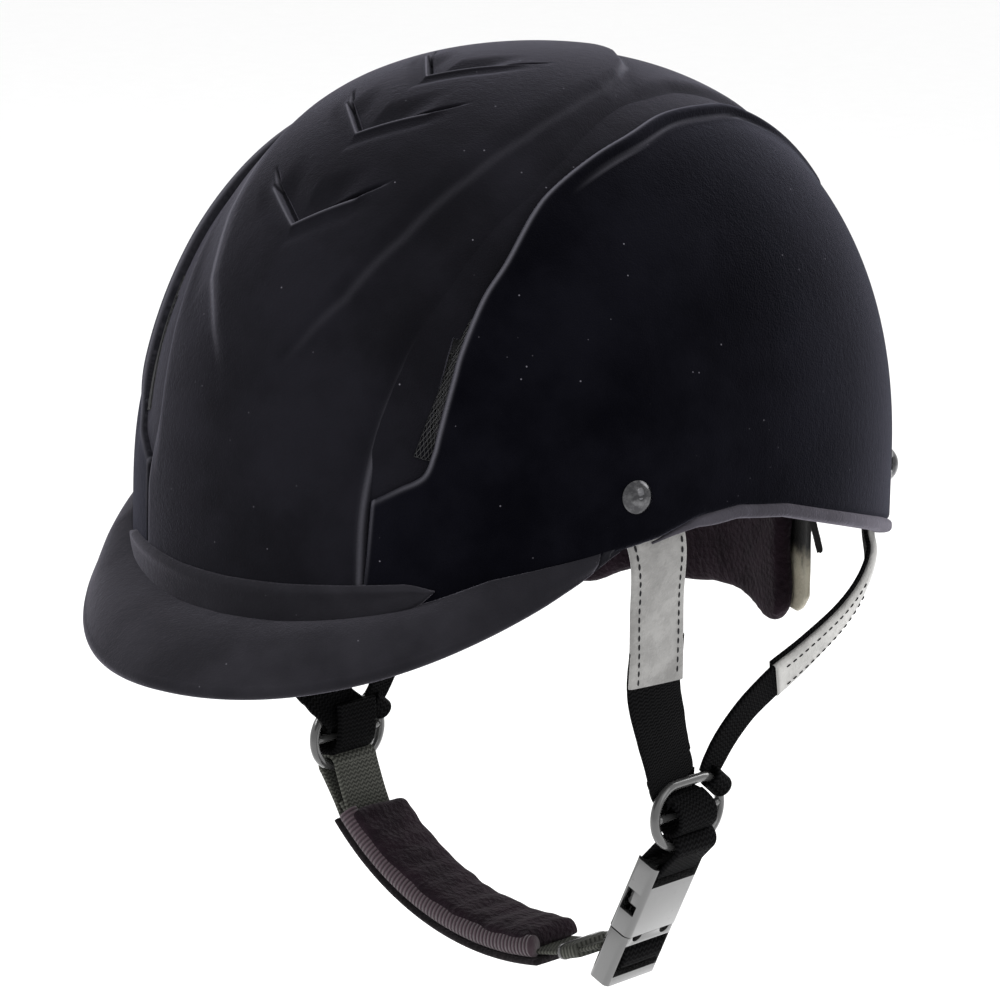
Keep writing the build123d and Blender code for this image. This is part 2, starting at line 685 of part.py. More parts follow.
# ---------------------------------------------------------------- assembly
def build():
    keep = above_rim()
    pieces = shell_pieces(keep)
    harness, holes = harness_pieces()
    for name in ("side_panel_left", "side_panel_right", "outer_shell"):
        for hole in holes:
            pieces[name] = pieces[name] - hole - mirrored(hole)
    front_room = strip(front_leather_stations(), LEATHER_WIDTH + 2, STRAP_ROOM)
    rear_room = strip(rear_leather_stations(), REAR_LEATHER_WIDTH + 2, STRAP_ROOM)
    well = Pos(0, 0, -6) * Cylinder(RIVET_WASHER_RADIUS + 0.5, 9)
    wells = [rivet(point)[2] * well for point in (SIDE_RIVET, REAR_RIVET)]
    pieces.update(liner_pieces([front_room, rear_room, *wells]))
    pieces["rim_binding"] = rim_binding()
    pieces.update(peak_pieces())
    pieces.update(harness)
    pieces.update(chin_pieces())
    pieces.update(buckle_pieces())
    pieces.update(nape_pieces())
    return pieces


os.makedirs("parts", exist_ok=True)
for node, shape in build().items():
    export_step(shape, f"parts/{node}.step")
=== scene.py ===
import math
import bmesh
import bpy
import numpy as np
from mathutils import Matrix, Vector, noise
from mathutils.kdtree import KDTree


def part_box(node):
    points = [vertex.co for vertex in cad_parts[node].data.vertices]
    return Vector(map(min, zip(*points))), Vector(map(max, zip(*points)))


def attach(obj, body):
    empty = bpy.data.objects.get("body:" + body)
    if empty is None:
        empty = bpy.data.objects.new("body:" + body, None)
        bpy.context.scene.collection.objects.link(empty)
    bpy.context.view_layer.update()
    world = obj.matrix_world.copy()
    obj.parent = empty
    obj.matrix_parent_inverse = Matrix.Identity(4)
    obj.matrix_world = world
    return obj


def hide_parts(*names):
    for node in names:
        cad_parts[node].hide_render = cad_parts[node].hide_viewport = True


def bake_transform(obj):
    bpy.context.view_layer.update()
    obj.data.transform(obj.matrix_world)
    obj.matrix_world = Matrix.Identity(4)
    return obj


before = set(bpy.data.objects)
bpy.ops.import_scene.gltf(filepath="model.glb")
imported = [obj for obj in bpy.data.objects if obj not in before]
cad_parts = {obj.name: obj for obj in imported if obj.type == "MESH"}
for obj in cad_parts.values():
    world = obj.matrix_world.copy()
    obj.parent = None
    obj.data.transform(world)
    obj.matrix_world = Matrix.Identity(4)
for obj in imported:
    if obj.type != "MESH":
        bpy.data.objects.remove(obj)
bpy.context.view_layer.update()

# ---- Studio: camera, floor and light ------------------------------------------------------
# A long lens at eye height looks at the front and the wearer's left side. The floor is a
# matt white sheet well under the chin strap, and the light comes from large soft panels.
eye = Vector((0.9633, -1.1046, 0.3057))
aim = Vector((-0.0034, -0.0030, -0.0105))
camera_data = bpy.data.cameras.new("camera")
camera_data.lens = 174.4
camera_data.sensor_width = 36.0
camera_data.clip_end = 20.0
camera = bpy.data.objects.new("camera", camera_data)
camera.location = eye
camera.rotation_mode = "QUATERNION"
camera.rotation_quaternion = (aim - eye).to_track_quat("-Z", "Y")
bpy.context.scene.collection.objects.link(camera)
bpy.context.scene.camera = camera
bpy.context.scene.view_settings.view_transform = "Standard"


def soft_light(name, place, size, power):
    """A square light panel that faces the helmet."""
    data = bpy.data.lights.new(name, "AREA")
    data.shape = "SQUARE"
    data.size = size
    data.energy = power
    lamp = bpy.data.objects.new(name, data)
    lamp.location = place
    lamp.rotation_mode = "QUATERNION"
    lamp.rotation_quaternion = (-Vector(place)).to_track_quat("-Z", "Y")
    bpy.context.scene.collection.objects.link(lamp)


soft_light("key_light", (-0.9, -1.3, 1.9), 1.4, 40)
soft_light("side_light", (1.9, 0.3, 0.9), 1.2, 8)
soft_light("back_light", (0.3, 1.8, 1.2), 1.4, 22)

world = bpy.data.worlds.new("studio")
bpy.context.scene.world = world
world.use_nodes = True
world.node_tree.nodes["Background"].inputs["Color"].default_value = (1, 1, 1, 1)
world.node_tree.nodes["Background"].inputs["Strength"].default_value = 1.0


class Number:
    """A value that varies over a surface, so that finishes can be written as sums."""

    def __init__(self, finish, socket):
        self.finish = finish
        self.socket = socket

    def combine(self, operation, first, second=0.0):
        made = self.finish.node("Math", {"operation": operation}, {0: first, 1: second})
        return Number(self.finish, made.outputs[0])

    def __add__(self, other):
        return self.combine("ADD", self, other)

    def __radd__(self, other):
        return self.combine("ADD", other, self)

    def __sub__(self, other):
        return self.combine("SUBTRACT", self, other)

    def __rsub__(self, other):
        return self.combine("SUBTRACT", other, self)

    def __mul__(self, other):
        return self.combine("MULTIPLY", self, other)

    def __rmul__(self, other):
        return self.combine("MULTIPLY", other, self)

    def __truediv__(self, other):
        return self.combine("DIVIDE", self, other)

    def sine(self):
        return self.combine("SINE", self)

    def floor(self):
        return self.combine("FLOOR", self)

    def absolute(self):
        return self.combine("ABSOLUTE", self)


class Finish:
    """A material with its nodes. Constants go straight onto the shader's own sockets."""

    def __init__(self, name, **constants):
        self.material = bpy.data.materials.new(name)
        self.material.use_nodes = True
        self.tree = self.material.node_tree
        self.shader = self.tree.nodes["Principled BSDF"]
        for socket, value in constants.items():
            self.shader.inputs[socket.replace("_", " ")].default_value = value

    def node(self, kind, settings, values):
        made = self.tree.nodes.new("ShaderNode" + kind)
        for name, value in settings.items():
            setattr(made, name, value)
        for name, value in values.items():
            value = getattr(value, "socket", value)
            if isinstance(value, bpy.types.NodeSocket):
                self.tree.links.new(value, made.inputs[name])
            else:
                made.inputs[name].default_value = value
        return made

    def place(self, layout="Object"):
        return self.node("TexCoord", {}, {}).outputs[layout]

    def axis(self, vector, name):
        return Number(self, self.node("SeparateXYZ", {}, {0: vector}).outputs[name])

    def noise(self, vector, scale, detail=3.0, roughness=0.55):
        values = {"Vector": vector, "Scale": scale, "Detail": detail, "Roughness": roughness}
        return Number(self, self.node("TexNoise", {}, values).outputs["Fac"])

    def cells(self, vector, scale):
        values = {"Vector": vector, "Scale": scale}
        return Number(self, self.node("TexVoronoi", {}, values).outputs["Distance"])

    def ramp(self, value, low, high):
        settings = {"interpolation_type": "SMOOTHSTEP"}
        values = {"Value": value, "From Min": low, "From Max": high}
        return Number(self, self.node("MapRange", settings, values).outputs[0])

    def blend(self, share, first, second):
        made = self.node("Mix", {"data_type": "RGBA"}, {"Factor": share})
        for socket, colour in ((6, first), (7, second)):
            if isinstance(colour, bpy.types.NodeSocket):
                self.tree.links.new(colour, made.inputs[socket])
            else:
                made.inputs[socket].default_value = (*colour, 1.0)
        return made.outputs[2]

    def feed(self, socket, value):
        self.tree.links.new(getattr(value, "socket", value), self.shader.inputs[socket])

    def relief(self, height, depth, strength):
        values = {"Height": height, "Distance": depth, "Strength": strength}
        self.feed("Normal", self.node("Bump", {}, values).outputs["Normal"])


def stood(bm, name):
    """An object made from a bmesh."""
    data = bpy.data.meshes.new(name)
    bm.to_mesh(data)
    bm.free()
    piece = bpy.data.objects.new(name, data)
    bpy.context.scene.collection.objects.link(piece)
    return piece


FLOOR_HEIGHT = -0.42
floor_mesh = bmesh.new()
bmesh.ops.create_circle(floor_mesh, cap_ends=True, segments=64, radius=6.0)
bmesh.ops.translate(floor_mesh, verts=floor_mesh.verts, vec=(0, 0, FLOOR_HEIGHT))
floor = stood(floor_mesh, "studio_floor")
paper = Finish("white_paper", Roughness=0.9)
paper_grain = paper.noise(paper.place(), 40.0)
paper.feed("Base Color", paper.blend(paper_grain, (0.93, 0.93, 0.93), (0.96, 0.96, 0.96)))
floor.data.materials.append(paper.material)


# ---- Outer shell ---------------------------------------------------------------------------
# The hard shell under the panels: moulded black plastic, flocked like the panels, so the vent
# channels between them look like velvet too. The wings take a darker copy of the velvet, painted shade, and
# the peak a lighter copy, painted light.
def flocked(name, dark, light, sheen, pile=1.0, weight=0.2, level=0.06):
    """Short velvet pile: patchy nap, a fine grain and a pale bloom at grazing angles."""
    made = Finish(
        name, Roughness=0.92, Specular_IOR_Level=level, Sheen_Weight=weight, Sheen_Roughness=0.34,
        Sheen_Tint=(*sheen, 1.0),
    )
    spot = made.place()
    nap = made.ramp(made.noise(spot, 22.0, 4.0, 0.6), 0.35, 0.7)
    grain = made.noise(spot, 1700.0 / pile, 2.0, 0.7)
    speck = made.ramp(made.cells(spot, 260.0), 0.085, 0.035)
    lint = speck * made.ramp(made.noise(spot, 90.0, 1.0), 0.56, 0.66)
    # Painted highlight: a per-vertex attribute lightens the pile along panel edges and chevron lips.
    painted_highlight = Number(made, made.node("Attribute", {"attribute_name": "painted_highlight"}, {}).outputs["Fac"])
    base = made.blend(nap * 0.7 + grain * 0.3, dark, light)
    base = made.blend(painted_highlight * (0.55 + grain * 0.4), base, (0.1, 0.098, 0.115))
    made.feed("Base Color", made.blend(lint * 0.45, base, (0.25, 0.24, 0.28)))
    made.feed("Roughness", 0.86 + grain * 0.12)
    made.relief(grain * 0.7 + made.noise(spot, 420.0 / pile, 3.0) * 0.5, 0.00035 * pile, 0.8)
    return made.material


VELVET = flocked("flocked_velvet", (0.002, 0.0019, 0.003), (0.0075, 0.0072, 0.0102), (0.7, 0.68, 0.85))
# A darker copy of the velvet for the wings: painted shade.
SHADED_VELVET = flocked(
    "shaded_velvet_copy", (0.0004, 0.0004, 0.0012), (0.0036, 0.0036, 0.0058), (0.66, 0.66, 0.86),
    weight=0.155, level=0.02,
)
# A lighter copy of the velvet for the peak and its band: painted light.
LIT_VELVET = flocked(
    "lit_velvet_copy", (0.0075, 0.0072, 0.0092), (0.019, 0.0183, 0.0225), (0.75, 0.72, 0.85), weight=0.3
)


def finish_node(node, material):
    """Gives a CAD node that stays its finish."""
    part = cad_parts[node]
    part.data.materials.clear()
    part.data.materials.append(material)


finish_node("outer_shell", VELVET)


# ---- Velvet panels -------------------------------------------------------------------------
# Three moulded panels wrapped in flocked velvet are bonded over the shell: a centre panel with
# the raised tongue and three chevron intakes, and a side wing at each ear with a rolled edge.
# Pale highlights are painted on the pile along the tongue, the chevrons and the wings' upper edges.
HALF_WIDTH, FRONT, REAR, CROWN = 107.0, 127.0, 131.0, 128.3
FULLNESS, RAKE = 2.18, 0.0344
RIM_LINE = np.array(
    [(-150, -27.5), (-127, -26.5), (-109, -19.5), (-94, -11.5), (-77.5, -7), (-64, -3.2),
     (-49, 0), (-36, 4.6), (-21, 5.8), (0, 3.1), (35, -5.9), (66, -14), (96, -22.5),
     (116, -26), (150, -27.5)], float
)


def rim_height(y):
    return np.interp(y, RIM_LINE[:, 0], RIM_LINE[:, 1])


def fullness(points):
    """Below 1 inside the dome, 1 on its outer surface."""
    x, y, z = points[..., 0], points[..., 1], points[..., 2]
    up = np.clip(z / CROWN, 0.0, 0.99999)
    level = (1 - up**FULLNESS) ** (1 / FULLNESS)
    along = y - RAKE * z
    length = np.where(along < 0, FRONT, REAR)
    over = np.where(z > CROWN, 2.0, 0.0)
    return np.hypot(x / HALF_WIDTH, along / length) / level + over


def meet_dome(start, heading):
    """Where lines from inside the dome come out through its surface."""
    near = np.zeros(start.shape[:-1])
    far = np.full(start.shape[:-1], 260.0)
    for _ in range(24):
        middle = (near + far) / 2
        inside = fullness(start + heading * middle[..., None]) < 1
        near = np.where(inside, middle, near)
        far = np.where(inside, far, middle)
    return start + heading * near[..., None]


def unit(vectors):
    return vectors / np.linalg.norm(vectors, axis=-1, keepdims=True)


def outward(points):
    """Surface normals of the dome."""
    inner = points * 0.999
    steps = np.eye(3) * 0.2
    return unit(np.stack([fullness(inner + step) - fullness(inner - step) for step in steps], axis=-1))


def run_along(path):
    """Distance of each place from the path's start."""
    return np.concatenate([[0], np.cumsum(np.linalg.norm(np.diff(path, axis=0), axis=1))])


def spline(points, count):
    """Evenly spaced places on a smooth line through the given points."""
    points = np.array(points, float)
    padded = np.vstack([2 * points[0] - points[1], points, 2 * points[-1] - points[-2]])
    t = np.linspace(0, 1, 24, endpoint=False)[:, None]
    spans = []
    for a, b, c, d in zip(padded, padded[1:], padded[2:], padded[3:]):
        cubic = (3 * b - a - 3 * c + d) * t**3 + (2 * a - 5 * b + 4 * c - d) * t**2
        spans.append(0.5 * (cubic + (c - a) * t + 2 * b))
    fine = np.vstack([*spans, points[-1:]])
    run = run_along(fine)
    even = np.linspace(0, run[-1], count)
    return np.stack([np.interp(even, run, column) for column in fine.T], axis=1)


def graded(count, crowded):
    """Shares from 0 to 1, closer together round each (share, strength, spread)."""
    t = np.linspace(0, 1, 4001)
    density = 1 + sum(s * np.exp(-(((t - p) / w) ** 2)) for p, s, w in crowded)
    total = np.cumsum(density)
    total = (total - total[0]) / (total[-1] - total[0])
    return np.interp(np.linspace(0, 1, count), total, t)


def rise(value, low, high):
    """0 below low, 1 above high and smooth between."""
    t = np.clip((value - low) / (high - low), 0, 1)
    return t * t * (3 - 2 * t)


def hump(value, middle, spread):
    return np.exp(-(((value - middle) / spread) ** 2))


def rolled(distance, radius):
    """How far an edge of that radius has rolled down at a distance from the border."""
    t = np.clip(1 - distance / radius, 0, 1)
    return radius * (1 - np.sqrt(np.clip(1 - t * t, 0, 1)))


def bent_grid(points):
    """A bmesh grid with its crossing (i, j) at points[i, j], in millimetres, and each (i, j)."""
    rows, columns = points.shape[:2]
    bm = bmesh.new()
    bmesh.ops.create_grid(bm, x_segments=rows - 1, y_segments=columns - 1, size=1)
    bm.verts.index_update()
    crossings = []
    for vert in bm.verts:
        i = round((vert.co.x + 1) / 2 * (rows - 1))
        j = round((vert.co.y + 1) / 2 * (columns - 1))
        crossings.append((i, j))
        vert.co = points[i, j] / 1000
    return bm, crossings


def sheet_mesh(points, painted_highlight=None):
    """A bent grid. Its last argument says where a pale highlight is painted on the pile, from 0 to 1."""
    bm, crossings = bent_grid(points)
    highlight_mask = bm.verts.layers.float.new("painted_highlight")
    if painted_highlight is not None:
        for vert, crossing in zip(bm.verts, crossings):
            vert[highlight_mask] = painted_highlight[crossing]
    return bm


def fill_open(bm):
    bmesh.ops.holes_fill(bm, edges=[edge for edge in bm.edges if edge.is_boundary], sides=0)


def publish(bm, name, material, body="helmet", replaces=()):
    """Makes the finished mesh an object that rides on its body."""
    bmesh.ops.remove_doubles(bm, verts=bm.verts, dist=1e-6)
    bmesh.ops.recalc_face_normals(bm, faces=bm.faces)
    piece = stood(bm, name)
    piece.data.shade_smooth()
    piece.data.materials.append(material)
    if body:
        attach(piece, body)
    if replaces:
        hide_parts(*replaces)
    return piece


def close_under(bm, centre, depth):
    """Turns a sheet's border down by a depth towards the centre."""
    border = [edge for edge in bm.edges if edge.is_boundary]
    made = bmesh.ops.extrude_edge_only(bm, edges=border)
    for vert in made["geom"]:
        if isinstance(vert, bmesh.types.BMVert):
            inward = (Vector(centre) - vert.co).normalized()
            vert.co += inward * depth


CROWN_EDGE = np.array(
    [(-135, 42), (-117, 43.5), (-105, 47.7), (-86, 52.7), (-56, 57), (-38, 56.5), (-17, 52),
     (-1, 49), (26, 43), (60, 40), (95, 38), (145, 36)], float
)
TONGUE = np.array(
    [(-127, -20), (-121.5, 0), (-119, 9), (-113, 17), (-104, 26), (-88, 34), (-66, 40), (-45, 43),
     (-26, 43), (-7, 40.5), (6, 35), (18, 27), (27, 17), (32, 7), (34, 0), (38, -14), (42, -30)], float
)
CHEVRON_TURNS = (41.9, 57.9, 72.8)
FIRST_LIFT, LIFT_SPAN = -12.0, 204.5
ARM_END, TRAIL_START, TRAIL_END, SCOOP_END = (15.2, 16.6), (15.4, 16.4), (17.5, 23.0), (7.0, 16.0)


def on_crown(x, turn):
    """Point of the dome at a distance from the centre line and a turn up from the front."""
    heading = np.stack([0 * turn, -np.cos(turn), np.sin(turn)], axis=-1)
    start = np.stack([x, 0 * x, 0 * x], axis=-1)
    return meet_dome(start, heading)


def crown_relief(points, x, lift, side_gap):
    """Height of the centre panel's moulded forms over the plain dome, and where a pale highlight is painted.
    """
    y, z = points[..., 1], points[..., 2]
    across = np.abs(x)
    front = np.interp(y, TONGUE[:, 0], TONGUE[:, 1])
    in_front = rise(z, 40, 74)
    soft = 3.2 + 3.4 * rise(across, 12, 34) * rise(-y, -10, 30)
    tail = rise(y, 4, 18)
    soft = soft * (1 - tail) + 1.5 * tail
    inside = (front - across) * (1 - 0.35 * tail)
    tongue = 2.3 * rise(inside, -soft, soft) * in_front
    valley = -0.7 * hump(inside, -soft - 3.0, 4.0) * in_front * (1 - tail)
    height = tongue + valley
    # Painted highlight: pale lines along the tongue's edges (stronger on the far side), the chevron lips and
    # the lower side edge.
    highlight_mask = 1.0 * hump(inside, -0.6, 0.9) * tail * in_front
    sides = in_front * (1 - tail) * rise(across, 8, 18)
    highlight_mask += np.where(x < 0, 0.8, 0.12) * hump(inside, -0.6, 1.0) * sides
    highlight_mask += 0.5 * hump(side_gap, 0.9, 0.6) * (1 - rise(z, 15, 70))
    for turn in CHEVRON_TURNS:
        away = (lift - turn) * 2.2
        arm = 1 - rise(across, *ARM_END)
        trail = rise(across, *TRAIL_START) * (1 - rise(across, *TRAIL_END))
        late = away - 1.1
        height += -3.4 * arm * rise(away, -0.25, 0.35) * (1 - rise(away, 1.3, 2.3))
        scoop = 1 - rise(across, *SCOOP_END)
        height += -1.7 * scoop * rise(away, 1.2, 2.2) * (1 - rise(away, 3.0, 17.0))
        height += 0.55 * hump(away, -0.7, 1.0) * (1 - rise(across, 15, 20))
        height += -0.55 * hump(away, -5.0, 2.6) * (1 - rise(across, 14, 24))
        height += -1.5 * trail * hump(late, 0.6, 0.75)
        highlight_mask += 0.9 * hump(away, -0.55, 0.4) * (1 - rise(across, 15.5, 16.5))
        highlight_mask += 0.8 * trail * hump(late, -0.3, 0.4)
    height -= 2.4 * rise(8.5 - side_gap, 0, 8.5) ** 1.6 * rise(z, 5, 30) + rolled(side_gap, 1.1)
    return height, np.clip(highlight_mask, 0, 1)


def crown_panel():
    share = graded(381, [(s, 5.0, 0.006) for s in (0.2655, 0.3435, 0.4165)] + [(0.35, 1.1, 0.14)])
    across = graded(141, [(0.0, 4.0, 0.012), (1.0, 4.0, 0.012), (0.5, 0.5, 0.2)]) * 2 - 1
    share, across = np.meshgrid(share, across, indexing="ij")
    x = across * 45.0
    for _ in range(3):
        reach = np.sqrt(1 - (x / HALF_WIDTH) ** 2)
        first = np.degrees(np.arctan2(rim_height(-FRONT * reach), FRONT * reach))
        last = 180 - np.degrees(np.arctan2(rim_height(REAR * reach), REAR * reach))
        lift = FIRST_LIFT + share * LIFT_SPAN
        lean = np.interp(lift, [2, 30, 41.9, 57.9, 72.8, 100, 150], [0, 0.2, 0.34, 0.394, 0.497, 0.4, 0])
        out = np.abs(x)
        splay = np.minimum(out, 16) + 1.35 * np.clip(out - 16, 0, 8) + 0.5 * np.clip(out - 24, 0, 12)
        settle = 1 - rise(share, 0.93, 1.0)
        turn = lift + lean * splay * settle
        turn = np.where(share < 0.5, np.maximum(turn, first + share * 30), turn)
        turn = first + (turn - FIRST_LIFT) * (last - first) / LIFT_SPAN
        points = on_crown(x, np.radians(turn))
        x = across * np.interp(points[..., 1], CROWN_EDGE[:, 0], CROWN_EDGE[:, 1])
    points = on_crown(x, np.radians(turn))
    edge = np.interp(points[..., 1], CROWN_EDGE[:, 0], CROWN_EDGE[:, 1])
    gap = edge - np.abs(x)
    height, highlight_mask = crown_relief(points, x, lift, gap)
    points = points + outward(points) * height[..., None]
    bm = sheet_mesh(points, highlight_mask)
    close_under(bm, (0, 0, 0), 0.0022)
    publish(bm, "velvet_centre_panel", VELVET, replaces=["crown_panel"])


crown_panel()


WING_EDGE = [
    (44.9, -113.6, 14), (51.4, -109.5, 18), (56.6, -105, 21.5), (58.4, -103, 27.6), (58.7, -101, 33),
    (59, -95, 48), (59, -91.5, 56), (59, -82, 70), (60, -73, 80), (58.5, -60, 92), (58, -51, 98),
    (58, -32, 106), (57, -15, 110), (54, 3, 114), (51, 24, 114), (48, 40, 113), (46.6, 53, 109),
    (45, 74, 99), (44.3, 92, 86),
]
WING_HOLLOW = [(56.6, -105, 20), (64, -98, 27), (74, -86, 38), (84, -70, 46)]


def snap(points):
    """Moves places near the dome out or in along lines from its middle, on to its surface."""
    points = np.array(points, float)
    return meet_dome(np.zeros_like(points), unit(points))


def rim_point(y):
    z = rim_height(y)
    along = y - RAKE * z
    length = np.where(along < 0, FRONT, REAR)
    up = np.clip(z / CROWN, 0, 1)
    level = (1 - up**FULLNESS) ** (1 / FULLNESS)
    x = HALF_WIDTH * np.sqrt(np.clip(level**2 - (along / length) ** 2, 0, 1))
    return np.stack([x, y, z], axis=-1)


def nearest(points, line):
    """Distance of each place from a line of points."""
    tree = KDTree(len(line))
    for index, place in enumerate(line):
        tree.insert(place, index)
    tree.balance()
    flat = np.array([tree.find(place)[2] for place in points.reshape(-1, 3)])
    return flat.reshape(points.shape[:-1])


def wing_points():
    along = graded(261, [(0.0, 3.0, 0.012), (1.0, 2.0, 0.012), (0.12, 1.2, 0.06)])
    up = graded(121, [(1.0, 7.0, 0.02), (0.0, 3.0, 0.014)])
    fine = 1201
    even = np.linspace(0, 1, fine)
    top = snap(spline(WING_EDGE, fine))
    turn = np.linspace(0, 1, 4000)
    first, last = -117.2, 120.6
    ys = first + (last - first) * (1 - np.cos(turn * math.pi)) / 2
    bottom = spline(rim_point(ys)[::40], fine)
    left = snap(spline([bottom[0], (44.2, -115.5, -4), top[0]], fine))
    right = snap(spline([bottom[-1], (43.2, 116, 20), (43.7, 108, 55), top[-1]], fine))

    def pick(line, share):
        return np.stack([np.interp(share, even, column) for column in line.T], axis=-1)

    u, v = along[:, None, None], up[None, :, None]
    matched = along**1.02
    patch = (1 - v) * pick(bottom, matched)[:, None] + v * pick(top, along)[:, None]
    patch = patch + (1 - u) * pick(left, up)[None] + u * pick(right, up)[None]
    corners = (1 - u) * (1 - v) * bottom[0] + u * (1 - v) * bottom[-1]
    patch = patch - corners - (1 - u) * v * top[0] - u * v * top[-1]
    return snap(patch), top, bottom, left, right


def side_wing(side, name, node):
    points, top, bottom, left, right = wing_points()
    from_top = nearest(points, top)
    from_left = nearest(points, left)
    from_right = nearest(points, right)
    from_rim = nearest(points, bottom)
    y, z = points[..., 1], points[..., 2]
    upper = rise(z, 14, 40)
    height = -rolled(from_top, 1.3) + 1.3 * hump(from_top, 2.2, 2.6) * upper
    lip = rise(y, -48, -22) * (1 - rise(y, 50, 72)) * rise(z, 70, 90)
    ledge = rise(from_top, 4.4, 5.4) * (1 - rise(from_top, 6, 14))
    height += lip * (-1.0 * hump(from_top, 4.6, 0.9) - 0.5 * ledge)
    height -= rolled(from_left, 1.1) + rolled(from_right, 1.1) + rolled(from_rim, 2.2)
    hollow = nearest(points, snap(spline(WING_HOLLOW, 200)))
    height -= 0.8 * hump(hollow, 0, 6.0) * rise(y, -108, -100) * (1 - rise(y, -90, -66))
    # Painted highlight: pale lines along the wing's upper edge, its inner lip and its front edge.
    highlight_mask = 0.9 * hump(from_top, 0.8, 0.6) * rise(z, 8, 30) + 0.6 * lip * hump(from_top, 5.6, 0.6)
    highlight_mask += 0.4 * hump(from_left, 0.7, 0.45) * rise(z, -20, 10)
    highlight_mask += 0.12 * hump(from_top, 0.8, 0.8) * (1 - rise(z, 8, 30))
    points = points + outward(points) * height[..., None]
    points[..., 0] *= side
    bm = sheet_mesh(points, np.clip(highlight_mask, 0, 1))
    close_under(bm, (0, 0, 0), 0.0021)
    publish(bm, name, SHADED_VELVET, replaces=[node])


side_wing(1, "velvet_wing_left", "side_panel_left")
side_wing(-1, "velvet_wing_right", "side_panel_right")


# ---- Peak ----------------------------------------------------------------------------------
# A stiff plastic peak wrapped in a lighter copy of the velvet, thick and round at its lip. It tucks under
# the centre panel, and a flocked band with rounded ends covers the joint. Peak and band take that lighter
# copy as painted light.
PEAK_ROOT = np.array(
    [(0, -127), (25, -121.6), (45, -108.4), (60, -93), (70, -78), (77, -66.5), (84, -52), (90, -43)],
    float,
)
PEAK_LIP, TOP_BOW, UNDER_BOW = 2.3, 3.2, 2.6
PEAK_TIP, LIP_BACK, LIP_RUN, LIP_HALF_WIDTH = -155.3, -37.4, 117.9, 92


def peak_lines(turn):
    """Where the peak leaves the shell and its outer lip, at a turn from the front in degrees."""
    side = np.sign(turn)
    turn = np.abs(turn)
    y = np.interp(turn, PEAK_ROOT[:, 0], PEAK_ROOT[:, 1])
    root = rim_point(y)
    root[:, 0] = np.where(turn < 4, np.interp(turn, [0, 4], [0, 6.0]), root[:, 0])
    root = root * [0.985, 0.985, 1] + [0, 0, 1.6]
    angle = np.radians(turn)
    lip_y = LIP_BACK - LIP_RUN * np.cos(angle)
    height = -43.0 + 46.1 * ((lip_y - PEAK_TIP) / LIP_RUN) ** 1.27 + PEAK_LIP
    lip = np.stack([LIP_HALF_WIDTH * np.sin(angle), lip_y, height], axis=-1)
    narrow = rise(turn, 72, 88)[:, None]
    lip = lip * (1 - narrow) + (root + [2.0, -1.5, -1.0]) * narrow
    flip = np.stack([np.where(side < 0, -1, 1), np.ones_like(turn), np.ones_like(turn)], axis=-1)
    return root * flip, lip * flip


def peak_form():
    """Closed form swept round the front: a bowed top, a full round lip and a flat underside."""
    turn = np.linspace(-88, 88, 241)
    root, lip = peak_lines(turn)
    root = spline(root, 241)
    lip = spline(lip, 241)
    reach = lip - root
    length = np.linalg.norm(reach, axis=1, keepdims=True)
    ahead = reach / length
    along = np.gradient(lip, axis=0)
    up = unit(np.cross(ahead, along))
    up *= np.sign(up[:, 2:])
    thick = np.minimum(PEAK_LIP, 0.4 + length * 0.16)

    def bow(height, share):
        return height * math.sin(math.pi * share) * np.minimum(length / 30, 1)

    def middle(share):
        return root + reach * share - ahead * PEAK_LIP * share

    top_share = graded(34, [(1, 2, 0.1)])
    rows = [middle(share) + up * (thick + bow(TOP_BOW, share)) for share in top_share]
    for angle in np.radians(np.linspace(78, -78, 12)):
        rows.append(middle(1.0) + ahead * thick * math.cos(angle) + up * thick * math.sin(angle))
    rows += [middle(share) - up * (thick - bow(UNDER_BOW, share)) for share in top_share[::-1]]
    rows.append(rows[0])
    points = np.stack(rows, axis=1)
    bm = sheet_mesh(points)
    bmesh.ops.remove_doubles(bm, verts=bm.verts, dist=1e-7)
    fill_open(bm)
    publish(bm, "velvet_peak", LIT_VELVET, replaces=["peak_cover", "peak_core"])
    under = [
        middle(share) - up * (thick - bow(UNDER_BOW, share) + 0.35 * min(1, 12 * (0.93 - share)))
        for share in np.linspace(0.04, 0.93, 40)
    ]
    lining = sheet_mesh(np.stack(under, axis=1)[16:-16])
    close_under(lining, (0, -0.1, 0.05), 0.0006)
    publish(lining, "peak_underside_cloth", LINING, replaces=["peak_lining"])


LINING = flocked("peak_underside", (0.006, 0.006, 0.008), (0.012, 0.012, 0.015), (0.6, 0.6, 0.66), 1.4, 0.08)
peak_form()


